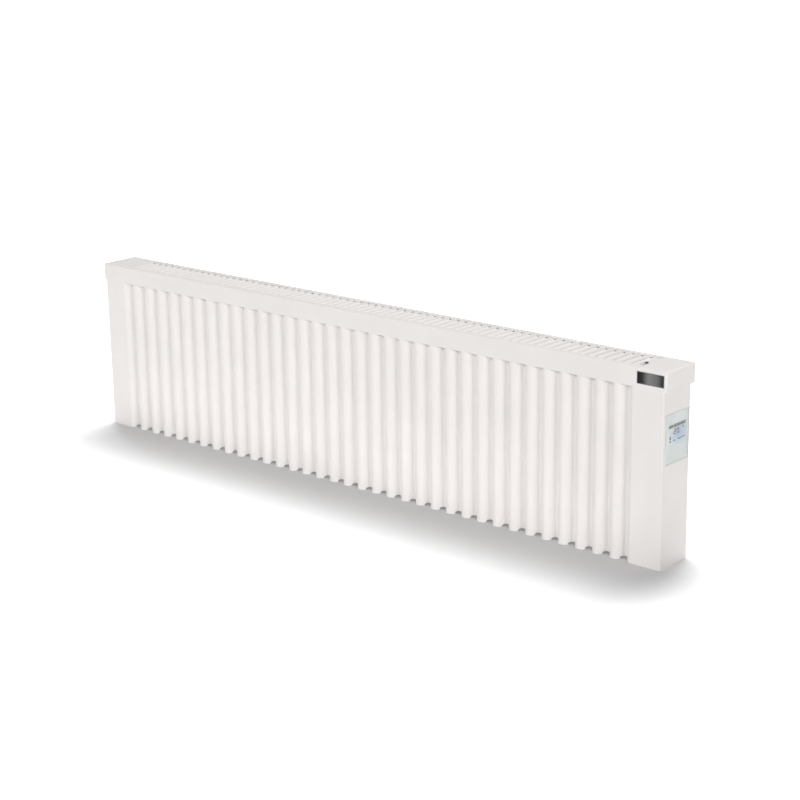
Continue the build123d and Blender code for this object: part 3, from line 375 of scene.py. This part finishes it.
rubber, tree, shader, coords = start_finish("epdm_rubber_black", IOR=1.52)
mottle(tree, shader, coords, ("#171717", "#242423"), size_mm=9,
       roughness=(0.72, 0.88), grain_mm=0.7, depth_mm=0.03)
dress(rubber, "sensor_grommet", "wall_buffers")

# %% [markdown]
# The small metal parts: the earth stud and its nut are turned brass, the sensor's cap is drawn
# stainless steel, and the screws are zinc plated with a bluish passivation. Turned and drawn
# metal carries fine lines, so the grain is stretched along one axis.

# %% Small metal parts
brass, tree, shader, coords = start_finish("turned_brass", Metallic=1.0)
mottle(tree, shader, coords, ("#C9A45A", "#D8B66C"), size_mm=5,
       roughness=(0.22, 0.34), grain_mm=0.5, depth_mm=0.008, stretch=(1, 1, 4))
dress(brass, "earth_stud", "earth_nut")

sensor_cap, tree, shader, coords = start_finish("drawn_stainless_steel", Metallic=1.0)
mottle(tree, shader, coords, ("#C4C4C3", "#D0D0CF"), size_mm=8,
       roughness=(0.2, 0.32), grain_mm=0.5, depth_mm=0.006, stretch=(1, 1, 0.15))
dress(sensor_cap, "room_sensor")

zinc_plate, tree, shader, coords = start_finish("zinc_plated_steel", Metallic=1.0)
mottle(tree, shader, coords, ("#C3C8CC", "#D2D6D9"), size_mm=3,
       roughness=(0.28, 0.4), grain_mm=0.6, depth_mm=0.01)
dress(zinc_plate, "casing_screws", "base_screws", "cap_screws")

# %% [markdown]
# Behind the thermostat's glass is a liquid crystal cell with a cool backlight. The light
# gathers towards the middle, and at the rim the cell is nearly the grey-green of the printed
# frame. The distance from the lit middle drives a ramp of colours, with a little noise so that
# it isn't a clean spot, and the cell gives off a small part of the light itself.

# %% Backlit cell
backlit_cell, tree, shader, coords = start_finish("backlit_liquid_crystal", IOR=1.5,
                                                  Roughness=0.3, Emission_Strength=0.08)
cell_low, cell_high = (Vector(corner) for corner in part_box("lcd_module"))
lit, lit_half = Vector((0, -5 * MM, 214 * MM)), Vector((1, 33 * MM, 22 * MM))
placed = add_node(tree, "ShaderNodeMapping",
                  {"Location": (0, -lit.y / lit_half.y, -lit.z / lit_half.z),
                   "Scale": (0, 1 / lit_half.y, 1 / lit_half.z)}, {"Vector": coords})
away = add_node(tree, "ShaderNodeVectorMath", {"operation": "LENGTH"},
                {0: placed.outputs["Vector"]})
cloud = add_node(tree, "ShaderNodeTexNoise", {"Scale": per_metre(9), "Detail": 2.0},
                 {"Vector": coords})
drift = add_node(tree, "ShaderNodeMath", {"operation": "MULTIPLY_ADD", 1: 0.3},
                 {0: cloud.outputs["Fac"], 2: away.outputs["Value"]})
tone = add_node(tree, "ShaderNodeValToRGB", links={"Fac": drift.outputs["Value"]},
                stops=[(0.3, "#7D95B3"), (0.7, "#9DACBB"), (1.0, "#B8BFC2")])
tree.links.new(tone.outputs["Color"], shader.inputs["Base Color"])
tree.links.new(tone.outputs["Color"], shader.inputs["Emission Color"])
dress(backlit_cell, "lcd_module")

# %% [markdown]
# Now the new pieces. Each starts as a block between two corners, is shaped in edit mode, and is
# then seated: given its finish and the CAD body it moves with, while the solid it stands for is
# hidden. Faces and edges are picked in code by where they are, because an operator acts on
# whatever is selected.

# %% Helpers that shape a piece
def new_block(name, low, high):
    """A block between two corners, left in edit mode for shaping."""
    bpy.ops.object.select_all(action="DESELECT")
    bpy.ops.mesh.primitive_cube_add(size=1.0, location=[(a + b) / 2 for a, b in zip(low, high)],
                                    scale=[b - a for a, b in zip(low, high)])
    piece = bpy.context.object
    piece.name = piece.data.name = name
    bpy.ops.object.transform_apply(location=True, rotation=True, scale=True)
    bpy.ops.object.mode_set(mode="EDIT")
    bpy.ops.mesh.select_mode(type="FACE")
    return piece


def pick_faces(piece, test):
    """Selects the faces whose centre and normal pass a test."""
    bpy.ops.mesh.select_mode(type="FACE")
    bpy.ops.mesh.select_all(action="DESELECT")
    mesh = bmesh.from_edit_mesh(piece.data)
    for face in mesh.faces:
        face.select_set(bool(test(face.calc_center_median(), face.normal)))
    bmesh.update_edit_mesh(piece.data)


def pick_edges(piece, test):
    """Selects the edges whose two ends pass a test."""
    bpy.ops.mesh.select_mode(type="EDGE")
    bpy.ops.mesh.select_all(action="DESELECT")
    mesh = bmesh.from_edit_mesh(piece.data)
    for edge in mesh.edges:
        edge.select_set(bool(test(edge.verts[0].co, edge.verts[1].co)))
    bmesh.update_edit_mesh(piece.data)


def seat(piece, finish, body, record_slot, *stands_for):
    """Closes a piece: its finish, the body it moves with and what it stands for; the slot is not
    used.
    """
    if piece.mode == "EDIT":
        bpy.ops.object.mode_set(mode="OBJECT")
    piece.data.materials.clear()
    piece.data.materials.append(finish)
    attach(piece, body)
    if stands_for:
        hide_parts(*stands_for)
    print("Seated", piece.name, "with", len(piece.data.polygons), "faces on", body)


print("Helpers ready: new_block, pick_faces, pick_edges, seat")

# %% [markdown]
# A small metal plate is let into the front of the cap. It is two parts: a polished rim with
# rounded edges and a shallow pocket, and a dark field that lies in the pocket. The rim is a
# block whose front face is inset and pushed back; its long front edges are then bevelled, so
# that they catch the light.

# %% Rim of the plate
polished_rim, tree, shader, coords = start_finish("polished_dark_chrome", Metallic=1.0)
mottle(tree, shader, coords, ("#7C7C7F", "#8A8A8D"), size_mm=9,
       roughness=(0.14, 0.24), grain_mm=0.6, depth_mm=0.004, stretch=(0.1, 1, 1))

plate_low, plate_high = (Vector(corner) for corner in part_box("badge_plate"))
rim_width, pocket_depth, rim_round = 1.1 * MM, 0.5 * MM, 0.3 * MM
hair = 0.01 * MM
rim = new_block("plate_rim", plate_low, plate_high)
pick_faces(rim, lambda centre, normal: normal.y < -0.5)
bpy.ops.mesh.inset(thickness=rim_width)
bpy.ops.mesh.extrude_region_move(TRANSFORM_OT_translate={"value": (0, pocket_depth, 0)})
pick_edges(rim, lambda a, b: max(a.y, b.y) < plate_low.y + hair
           and min(abs(a.x - b.x), abs(a.z - b.z)) < hair)
bpy.ops.mesh.bevel(offset=rim_round, segments=3, affect="EDGES")
seat(rim, polished_rim, "casing", "dark_plate", "badge_plate")

# %% [markdown]
# The field is dark anodised aluminium, brushed along its length. Its colour runs from black at
# one end to grey in the middle and dark again at the other end, a painted reflection of the
# studio in the brushed metal. It is a thin block with softened front edges. The painted
# reflection is a ramp along X, and the brush lines are a noise stretched forty times along X,
# which changes both tone and gloss.

# %% Field of the plate
brushed_dark, tree, shader, coords = start_finish("anodised_aluminium_painted_reflection", Metallic=1.0)
along = add_node(tree, "ShaderNodeSeparateXYZ", links={"Vector": coords})
brush_place = add_node(tree, "ShaderNodeMapping", {"Scale": (1 / 40, 1, 1)}, {"Vector": coords})
brush = add_node(tree, "ShaderNodeTexNoise", {"Scale": per_metre(0.7), "Detail": 3.0},
                 {"Vector": brush_place.outputs["Vector"]})
# A ramp along X paints a reflection of the studio into the plate's colour.
painted_reflection_place = add_node(tree, "ShaderNodeMapRange", {"From Min": plate_low.x, "From Max": plate_high.x},
                  {"Value": along.outputs["X"]})
brush_and_painted_reflection = add_node(tree, "ShaderNodeMath", {"operation": "MULTIPLY_ADD", 1: 0.16},
                  {0: brush.outputs["Fac"], 2: painted_reflection_place.outputs["Result"]})
tone = add_node(tree, "ShaderNodeValToRGB", links={"Fac": brush_and_painted_reflection.outputs["Value"]},
                stops=[(0.06, "#1B1B1C"), (0.28, "#2B2B2C"), (0.5, "#6A6A6B"),
                       (0.8, "#5C5C5D"), (1.0, "#303031")])
gloss = add_node(tree, "ShaderNodeMapRange", {"To Min": 0.3, "To Max": 0.46},
                 {"Value": brush.outputs["Fac"]})
tree.links.new(tone.outputs["Color"], shader.inputs["Base Color"])
tree.links.new(gloss.outputs["Result"], shader.inputs["Roughness"])

field_gap, field_sunk, field_round = 0.05 * MM, 0.2 * MM, 0.12 * MM
inner = Vector((rim_width + field_gap, 0, rim_width + field_gap))
field_low = plate_low + inner + Vector((0, field_sunk, 0))
field_high = Vector((plate_high.x, plate_low.y + pocket_depth, plate_high.z)) - inner
field = new_block("plate_field", field_low, field_high)
pick_edges(field, lambda a, b: max(a.y, b.y) < field_low.y + hair)
bpy.ops.mesh.bevel(offset=field_round, segments=2, affect="EDGES")
seat(field, brushed_dark, "casing", "dark_plate", "badge_plate")

# %% [markdown]
# The thermostat's front is toughened float glass, 2 mm thick, polished and a touch green. It is
# a block with rounded corners and a ground bevel round its front, and it starts a hair in front
# of the solid's back, to leave room for the print behind it. The pane is clear, and the only
# thing on it is the faint haze of handling, as a roughness that drifts over centimetres. Its
# edges are ground, which leaves them matt and pale.

# %% Thermostat glass
float_glass, tree, shader, coords = start_finish("float_glass_clear", IOR=1.52,
                                                 Transmission_Weight=1.0)
haze = add_node(tree, "ShaderNodeTexNoise", {"Scale": per_metre(24), "Detail": 3.0},
                {"Vector": coords})
tint = add_node(tree, "ShaderNodeValToRGB", links={"Fac": haze.outputs["Fac"]},
                stops=[(0.3, "#F7FAF9"), (0.7, "#FAFCFB")])
gloss = add_node(tree, "ShaderNodeMapRange", {"To Min": 0.0, "To Max": 0.06},
                 {"Value": haze.outputs["Fac"]})
tree.links.new(tint.outputs["Color"], shader.inputs["Base Color"])
tree.links.new(gloss.outputs["Result"], shader.inputs["Roughness"])

glass_low, glass_high = (Vector(corner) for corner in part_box("display_glass"))
print_room, corner_radius, ground_bevel = 0.15 * MM, 1.5 * MM, 0.4 * MM
pane = new_block("thermostat_pane", glass_low + Vector((print_room, 0, 0)), glass_high)
pick_edges(pane, lambda a, b: abs(a.x - b.x) > hair)
bpy.ops.mesh.bevel(offset=corner_radius, segments=4, affect="EDGES")
pick_edges(pane, lambda a, b: min(a.x, b.x) > glass_high.x - hair)
bpy.ops.mesh.bevel(offset=ground_bevel, segments=1, affect="EDGES")
seat(pane, float_glass, "casing", "display_glass", "display_glass")

ground_edge, tree, shader, coords = start_finish("float_glass_ground_edge", IOR=1.52)
mottle(tree, shader, coords, ("#E4E8E6", "#EBEEEC"), size_mm=6,
       roughness=(0.55, 0.7), grain_mm=0.5, depth_mm=0.01)
pane.data.materials.append(ground_edge)
for face in pane.data.polygons:
    face.material_index = 0 if abs(face.normal.x) > 0.95 else 1

# %% [markdown]
# The frame behind the glass is ceramic ink, screen printed on the back of the pane and fired:
# an even pale grey-green with a window for the cell. It is a thin block. Its front and back
# faces are inset, the inner faces are brought to the size of the window, and bridging them cuts
# the window through. The outer corners are rounded last, because an inset wider than a corner's
# radius would fold it over.

# %% Printed frame behind the glass
frame_ink, tree, shader, coords = start_finish("ceramic_ink_grey_green", IOR=1.5)
mottle(tree, shader, coords, ("#C6C8C8", "#CCCDCD"), size_mm=26,
       roughness=(0.5, 0.62), grain_mm=0.8, depth_mm=0.004)

print_gap, past_window = 0.02 * MM, 1 * MM
print_low = glass_low + Vector((print_gap, 0, 0))
print_high = Vector((glass_low.x + print_room - print_gap, glass_high.y, glass_high.z))
printed = new_block("display_print", print_low, print_high)
pick_faces(printed, lambda centre, normal: abs(normal.x) > 0.5)
window_margin = cell_low.y - print_low.y
bpy.ops.mesh.inset(thickness=window_margin, use_individual=True)
middle = (print_low + print_high) / 2
window_share = (cell_high.z - cell_low.z) / (print_high.z - print_low.z - 2 * window_margin)
bpy.ops.transform.resize(value=(1, 1, window_share), center_override=middle)
bpy.ops.transform.translate(value=(0, 0, (cell_low.z + cell_high.z) / 2 - middle.z))
bpy.ops.mesh.bridge_edge_loops()
pick_edges(printed, lambda a, b: abs(a.x - b.x) > hair
           and not cell_low.y - past_window < a.y < cell_high.y + past_window)
bpy.ops.mesh.bevel(offset=corner_radius, segments=4, affect="EDGES")
seat(printed, frame_ink, "casing", "display_glass")

# %% [markdown]
# The cell shows dark figures, blocks and marks, and each of them repeats one small shape. The
# shape is modelled once. Every copy gets its own mesh, with its place in the mesh's points and
# not in the object, and the copies that belong together are joined into one piece.

# %% Helpers for copies
def copy_of(piece, move):
    """A copy of a piece with its own mesh, moved by a matrix that goes into its points."""
    twin = piece.copy()
    twin.data = piece.data.copy()
    twin.data.transform(move)
    scene.collection.objects.link(twin)
    return twin


def join_as(name, copies):
    """Joins pieces into one and names it."""
    bpy.ops.object.select_all(action="DESELECT")
    for piece in copies:
        piece.select_set(True)
    bpy.context.view_layer.objects.active = copies[0]
    bpy.ops.object.join()
    copies[0].name = copies[0].data.name = name
    return copies[0]


def at_cell(y_mm, z_mm, turned=False):
    """A move from the cell's front, where its middle is at Y 0 and Z 0, to a place on it."""
    place = Matrix.Translation((0, y_mm * MM, z_mm * MM))
    return place @ Matrix.Rotation(math.radians(90), 4, "X") if turned else place


print("Helpers ready: copy_of, join_as, at_cell")

# %% [markdown]
# A seven-segment figure is made of one bar, seven times. The bar is a block whose end corners
# are bevelled to points, and its copies are turned and moved into place, the upright ones a
# little shorter. Here the figures read 20, a plain room temperature. Dark liquid crystal
# swallows light, so its finish has no reflection of its own.

# %% Figures on the cell
segment_ink, tree, shader, coords = start_finish("liquid_crystal_dark", IOR=1.5,
                                                 Specular_IOR_Level=0.0)
mottle(tree, shader, coords, ("#06090D", "#0E141A"), size_mm=4,
       roughness=(0.5, 0.6), grain_mm=0.5, depth_mm=0.002)

cell_front = cell_high.x + hair
bar_thick, bar_long, bar_wide, bar_point = 0.1 * MM, 5.0 * MM, 2.1 * MM, 0.8 * MM
bar = new_block("figure_bar", (cell_front, -bar_long / 2, -bar_wide / 2),
                (cell_front + bar_thick, bar_long / 2, bar_wide / 2))
pick_edges(bar, lambda a, b: abs(a.x - b.x) > bar_thick / 2)
bpy.ops.mesh.bevel(offset=bar_point, segments=1, affect="EDGES")
bpy.ops.object.mode_set(mode="OBJECT")

rise, reach = 1.9, 2.5
bars = {"top": (0, 2 * rise, False), "middle": (0, 0, False), "bottom": (0, -2 * rise, False),
        "right_up": (reach, rise, True), "right_down": (reach, -rise, True),
        "left_up": (-reach, rise, True), "left_down": (-reach, -rise, True)}
two = ("top", "right_up", "middle", "left_down", "bottom")
nought = ("top", "right_up", "right_down", "bottom", "left_down", "left_up")
tens_y, units_y, figure_z = -17.4, -8.8, 219.4
shorter = Matrix.Scale(0.8, 4, (0, 1, 0))
figures = []
for figure_y, shown in ((tens_y, two), (units_y, nought)):
    for name in shown:
        y, z, turned = bars[name]
        place = at_cell(figure_y + y, figure_z + z, turned)
        figures.append(copy_of(bar, place @ shorter if turned else place))
seat(join_as("display_figures", figures), segment_ink, "casing", "display_cell")
bpy.data.objects.remove(bar)

# %% [markdown]
# Above the figures runs a row of small blocks, one for each hour of the day: tall in the hours
# when the room is to be warm, short in the others. Below them are a few plain marks. All of
# them come from one small block with bevelled corners, copied along the row, and the short ones
# are squeezed copies.

# %% Hour row and marks on the cell
block_wide, block_high, block_round = 1.8 * MM, 5.8 * MM, 0.3 * MM
hour = new_block("hour_block", (cell_front, -block_wide / 2, -block_high / 2),
                 (cell_front + bar_thick, block_wide / 2, block_high / 2))
pick_edges(hour, lambda a, b: abs(a.x - b.x) > bar_thick / 2)
bpy.ops.mesh.bevel(offset=block_round, segments=2, affect="EDGES")
bpy.ops.object.mode_set(mode="OBJECT")

hours_in_day, first_y, hour_pitch, row_z = 24, -33.2, 1.92, 228.7
warm_hours = {1, 2, 4, 5, 8, 9, 10, 11, 13, 14, 15, 17, 18, 19, 20, 22, 23}
squeeze = Matrix.Scale(0.5, 4, (0, 0, 1))
row = []
for index in range(hours_in_day):
    place = at_cell(first_y + hour_pitch * index, row_z)
    row.append(copy_of(hour, place if index in warm_hours else place @ squeeze))
seat(join_as("display_hours", row), segment_ink, "casing", "display_cell")

short_marks = ((-30.8, 204.8), (-28.9, 204.8), (-19.8, 205.2),
               (-17.9, 205.2), (4.7, 222.6), (6.6, 222.6))
tall_marks = ((-31.0, 210.8), (-29.1, 210.8))
lying_marks = ((-5.4, 205.4), (1.4, 205.8), (7.8, 206.2))
marks = [copy_of(hour, at_cell(y, z) @ squeeze) for y, z in short_marks]
marks += [copy_of(hour, at_cell(y, z)) for y, z in tall_marks]
marks += [copy_of(hour, at_cell(y, z, turned=True)) for y, z in lying_marks]
seat(join_as("display_marks", marks), segment_ink, "casing", "display_cell")
bpy.data.objects.remove(hour)

# %% [markdown]
# The rocker carries the two usual printed signs, a bar at the end that switches on and a ring
# at the end that switches off. Its underside is two flat slopes that meet in the middle, and
# the rocker rests tilted, so each sign is made flat, laid on its slope and tilted with the
# rocker.

# %% Ink and slopes of the rocker
sign_ink, tree, shader, coords = start_finish("pad_print_ink_grey", IOR=1.5)
mottle(tree, shader, coords, ("#55585B", "#636669"), size_mm=2,
       roughness=(0.45, 0.6), grain_mm=0.4, depth_mm=0.002)

pivot, rest_tilt = Vector((0.606, 0.012, 0.013)), math.radians(-8)
rocker_half, middle_depth, tip_depth = 6.4 * MM, 4.0 * MM, 6.0 * MM
slope = math.atan2(tip_depth - middle_depth, rocker_half)


def on_slope(side):
    """The move from flat at the origin to the middle of the rocker's slope on one side."""
    middle_of_slope = Vector((side * rocker_half / 2, 0, -(middle_depth + tip_depth) / 2))
    lay = Matrix.Translation(middle_of_slope) @ Matrix.Rotation(side * slope, 4, "Y")
    return Matrix.Translation(pivot) @ Matrix.Rotation(rest_tilt, 4, "Y") @ lay


print("Slope of the rocker:", round(math.degrees(slope), 1), "degrees")

# %% [markdown]
# The bar is a thin block with rounded corners. The ring starts as a thin disc: its two faces
# are inset by the width of the line, and bridging the inner faces opens the middle.

# %% Signs on the rocker
sign_thick, stroke_round = 0.1 * MM, 0.2 * MM
stroke_half = Vector((0.4 * MM, 1.9 * MM, sign_thick / 2))
ring_radius, ring_width = 1.8 * MM, 0.55 * MM

stroke = new_block("rocker_bar", -stroke_half, stroke_half)
pick_edges(stroke, lambda a, b: abs(a.z - b.z) > sign_thick / 2)
bpy.ops.mesh.bevel(offset=stroke_round, segments=2, affect="EDGES")
bpy.ops.object.mode_set(mode="OBJECT")
stroke.data.transform(on_slope(1))
seat(stroke, sign_ink, "rocker", "rocker_plastic")

bpy.ops.object.select_all(action="DESELECT")
bpy.ops.mesh.primitive_cylinder_add(vertices=40, radius=ring_radius, depth=sign_thick)
ring = bpy.context.object
ring.name = ring.data.name = "rocker_ring"
bpy.ops.object.mode_set(mode="EDIT")
pick_faces(ring, lambda centre, normal: abs(normal.z) > 0.5)
bpy.ops.mesh.inset(thickness=ring_width, use_individual=True)
bpy.ops.mesh.bridge_edge_loops()
bpy.ops.object.mode_set(mode="OBJECT")
ring.data.transform(on_slope(-1))
seat(ring, sign_ink, "rocker", "rocker_plastic")

# %% [markdown]
# The studio is white all round, but that white may not light the radiator, or its pale coat
# would burn out. The render sends out rays of several kinds, and a Light Path node tells them
# apart. One helper picks those that look at a surface, straight from the camera or by way of a
# mirror or a glass, so that the paper and the background can be white for these alone.

# %% Helper for what is seen
def where_seen(tree):
    """One for a ray from the camera, a mirror or a glass, and nought for all others."""
    rays = add_node(tree, "ShaderNodeLightPath")
    seen = add_node(tree, "ShaderNodeMath", {"operation": "MAXIMUM"},
                    {0: rays.outputs["Is Camera Ray"], 1: rays.outputs["Is Glossy Ray"]})
    seen = add_node(tree, "ShaderNodeMath", {"operation": "MAXIMUM"},
                    {0: seen.outputs["Value"], 1: rays.outputs["Is Transmission Ray"]})
    return seen.outputs["Value"]


print("Helper ready: where_seen")

# %% [markdown]
# The floor is a sheet of white paper under soft light. It gives off a little light of its own
# where it is seen, more with the distance from the radiator, so that it meets the white
# background with no edge. Close by it glows least, which is painted shade round the radiator's
# foot, and there the radiator's real shadow falls on it as well. The glow grows twice as fast
# beyond the two ends, so that the painted shade, and with it the shadow, fades sooner there.

# %% Floor
bpy.ops.object.select_all(action="DESELECT")
bpy.ops.mesh.primitive_plane_add(size=30.0, location=(0, 0, 0))
floor = bpy.context.object
floor.name = "floor"
floor_paper, tree, shader, coords = start_finish(
    "floor_paper", Roughness=0.9, Specular_IOR_Level=0.0,
    Base_Color=linear("#CECECE"), Emission_Color=(1, 1, 1, 1))

half_length, half_depth, end_speed = 0.61, 0.04, 2.0
# The low glow close to the radiator is painted shade round its foot, added to the real shadow.
near_glow_painted_shade, glow_span = 0.21, 0.42
aside = add_node(tree, "ShaderNodeVectorMath", {"operation": "ABSOLUTE"}, {0: coords})
beyond = add_node(tree, "ShaderNodeVectorMath",
                  {"operation": "MULTIPLY_ADD", 1: (end_speed, 1, 1),
                   2: (-end_speed * half_length, -half_depth, 0)},
                  {0: aside.outputs["Vector"]})
beyond = add_node(tree, "ShaderNodeVectorMath", {"operation": "MAXIMUM", 1: (0, 0, 0)},
                  {0: beyond.outputs["Vector"]})
distance = add_node(tree, "ShaderNodeVectorMath", {"operation": "LENGTH"},
                    {0: beyond.outputs["Vector"]})
glow = add_node(tree, "ShaderNodeMapRange",
                {"interpolation_type": "SMOOTHSTEP", "From Min": 0.0, "From Max": glow_span,
                 "To Min": near_glow_painted_shade, "To Max": 1.0},
                {"Value": distance.outputs["Value"]})
lift = add_node(tree, "ShaderNodeMath", {"operation": "MULTIPLY"},
                {0: where_seen(tree), 1: glow.outputs["Result"]})
tree.links.new(lift.outputs["Value"], shader.inputs["Emission Strength"])
floor.data.materials.append(floor_paper)
print("Floor of", tuple(floor.dimensions))

# %% [markdown]
# The world is white where it is seen, and much dimmer as a light, so that it only fills the
# shadows.

# %% Background
world = bpy.data.worlds.new("studio")
scene.world = world
world.use_nodes = True
tree = world.node_tree
background = tree.nodes["Background"]
background.inputs["Color"].default_value = (1, 1, 1, 1)
fill_level = 0.19
level = add_node(tree, "ShaderNodeMapRange", {"To Min": fill_level, "To Max": 1.0},
                 {"Value": where_seen(tree)})
tree.links.new(level.outputs["Result"], background.inputs["Strength"])
print("Background fills the shadows at", fill_level)

# %% [markdown]
# Soft boxes light it. One in front, a little above, fills the front and leaves a thin shadow
# under the edge of the cap. One low on the right rakes along the flutes, so that each crest is
# bright on its right side and each valley stays grey. A narrow, weak strip just in front lifts
# the foot of the casing, as a white board on the floor does. One behind and one overhead light
# the back and the top. The paper has a large soft box of its own, above and behind, which puts
# the shadow on the near side. Light linking keeps it off the radiator and the others off the
# paper, so that the shadow can be made as soft and as deep as it should be without changing the
# light on the radiator.

# %% Soft boxes
def softbox(name, place, target, size, watts):
    """A rectangular studio light at a place, facing a point."""
    bpy.ops.object.light_add(type="AREA", location=place)
    lamp = bpy.context.object
    lamp.name = name
    lamp.data.shape = "RECTANGLE"
    lamp.data.size, lamp.data.size_y = size
    lamp.data.energy = watts
    lamp.visible_camera = False
    lamp.rotation_euler = (Vector(target) - Vector(place)).to_track_quat("-Z", "Y").to_euler()
    return lamp


object_lamps = [
    softbox("front_softbox", place=(-0.5, -3.9, 2.5), target=(0, 0, 0.2),
            size=(2.6, 1.0), watts=87),
    softbox("side_softbox", place=(4.98, -2.32, 1.3), target=(0, 0, 0.2),
            size=(2.2, 0.8), watts=109),
    softbox("foot_softbox", place=(0, -0.2, 0.02), target=(0, 0, 0.02),
            size=(1.2, 0.04), watts=0.245),
    softbox("back_softbox", place=(0.9, 4.0, 1.2), target=(0, 0, 0.2),
            size=(2.4, 0.8), watts=52),
    softbox("top_softbox", place=(0.8, 1.6, 4.4), target=(0, 0, 0.3),
            size=(3.4, 2.0), watts=70)]
paper_lamp = softbox("paper_softbox", place=(-1.5, 2.0, 4.5), target=(0, -0.1, 0),
                     size=(3.8, 2.0), watts=340)

paper_only = bpy.data.collections.new("paper_only")
all_but_paper = bpy.data.collections.new("all_but_paper")
for group in (paper_only, all_but_paper):
    group.objects.link(floor)
all_but_paper.collection_objects[0].light_linking.link_state = "EXCLUDE"
paper_lamp.light_linking.receiver_collection = paper_only
for lamp in object_lamps:
    lamp.light_linking.receiver_collection = all_but_paper
print("Lights:", ", ".join(lamp.name for lamp in object_lamps + [paper_lamp]))
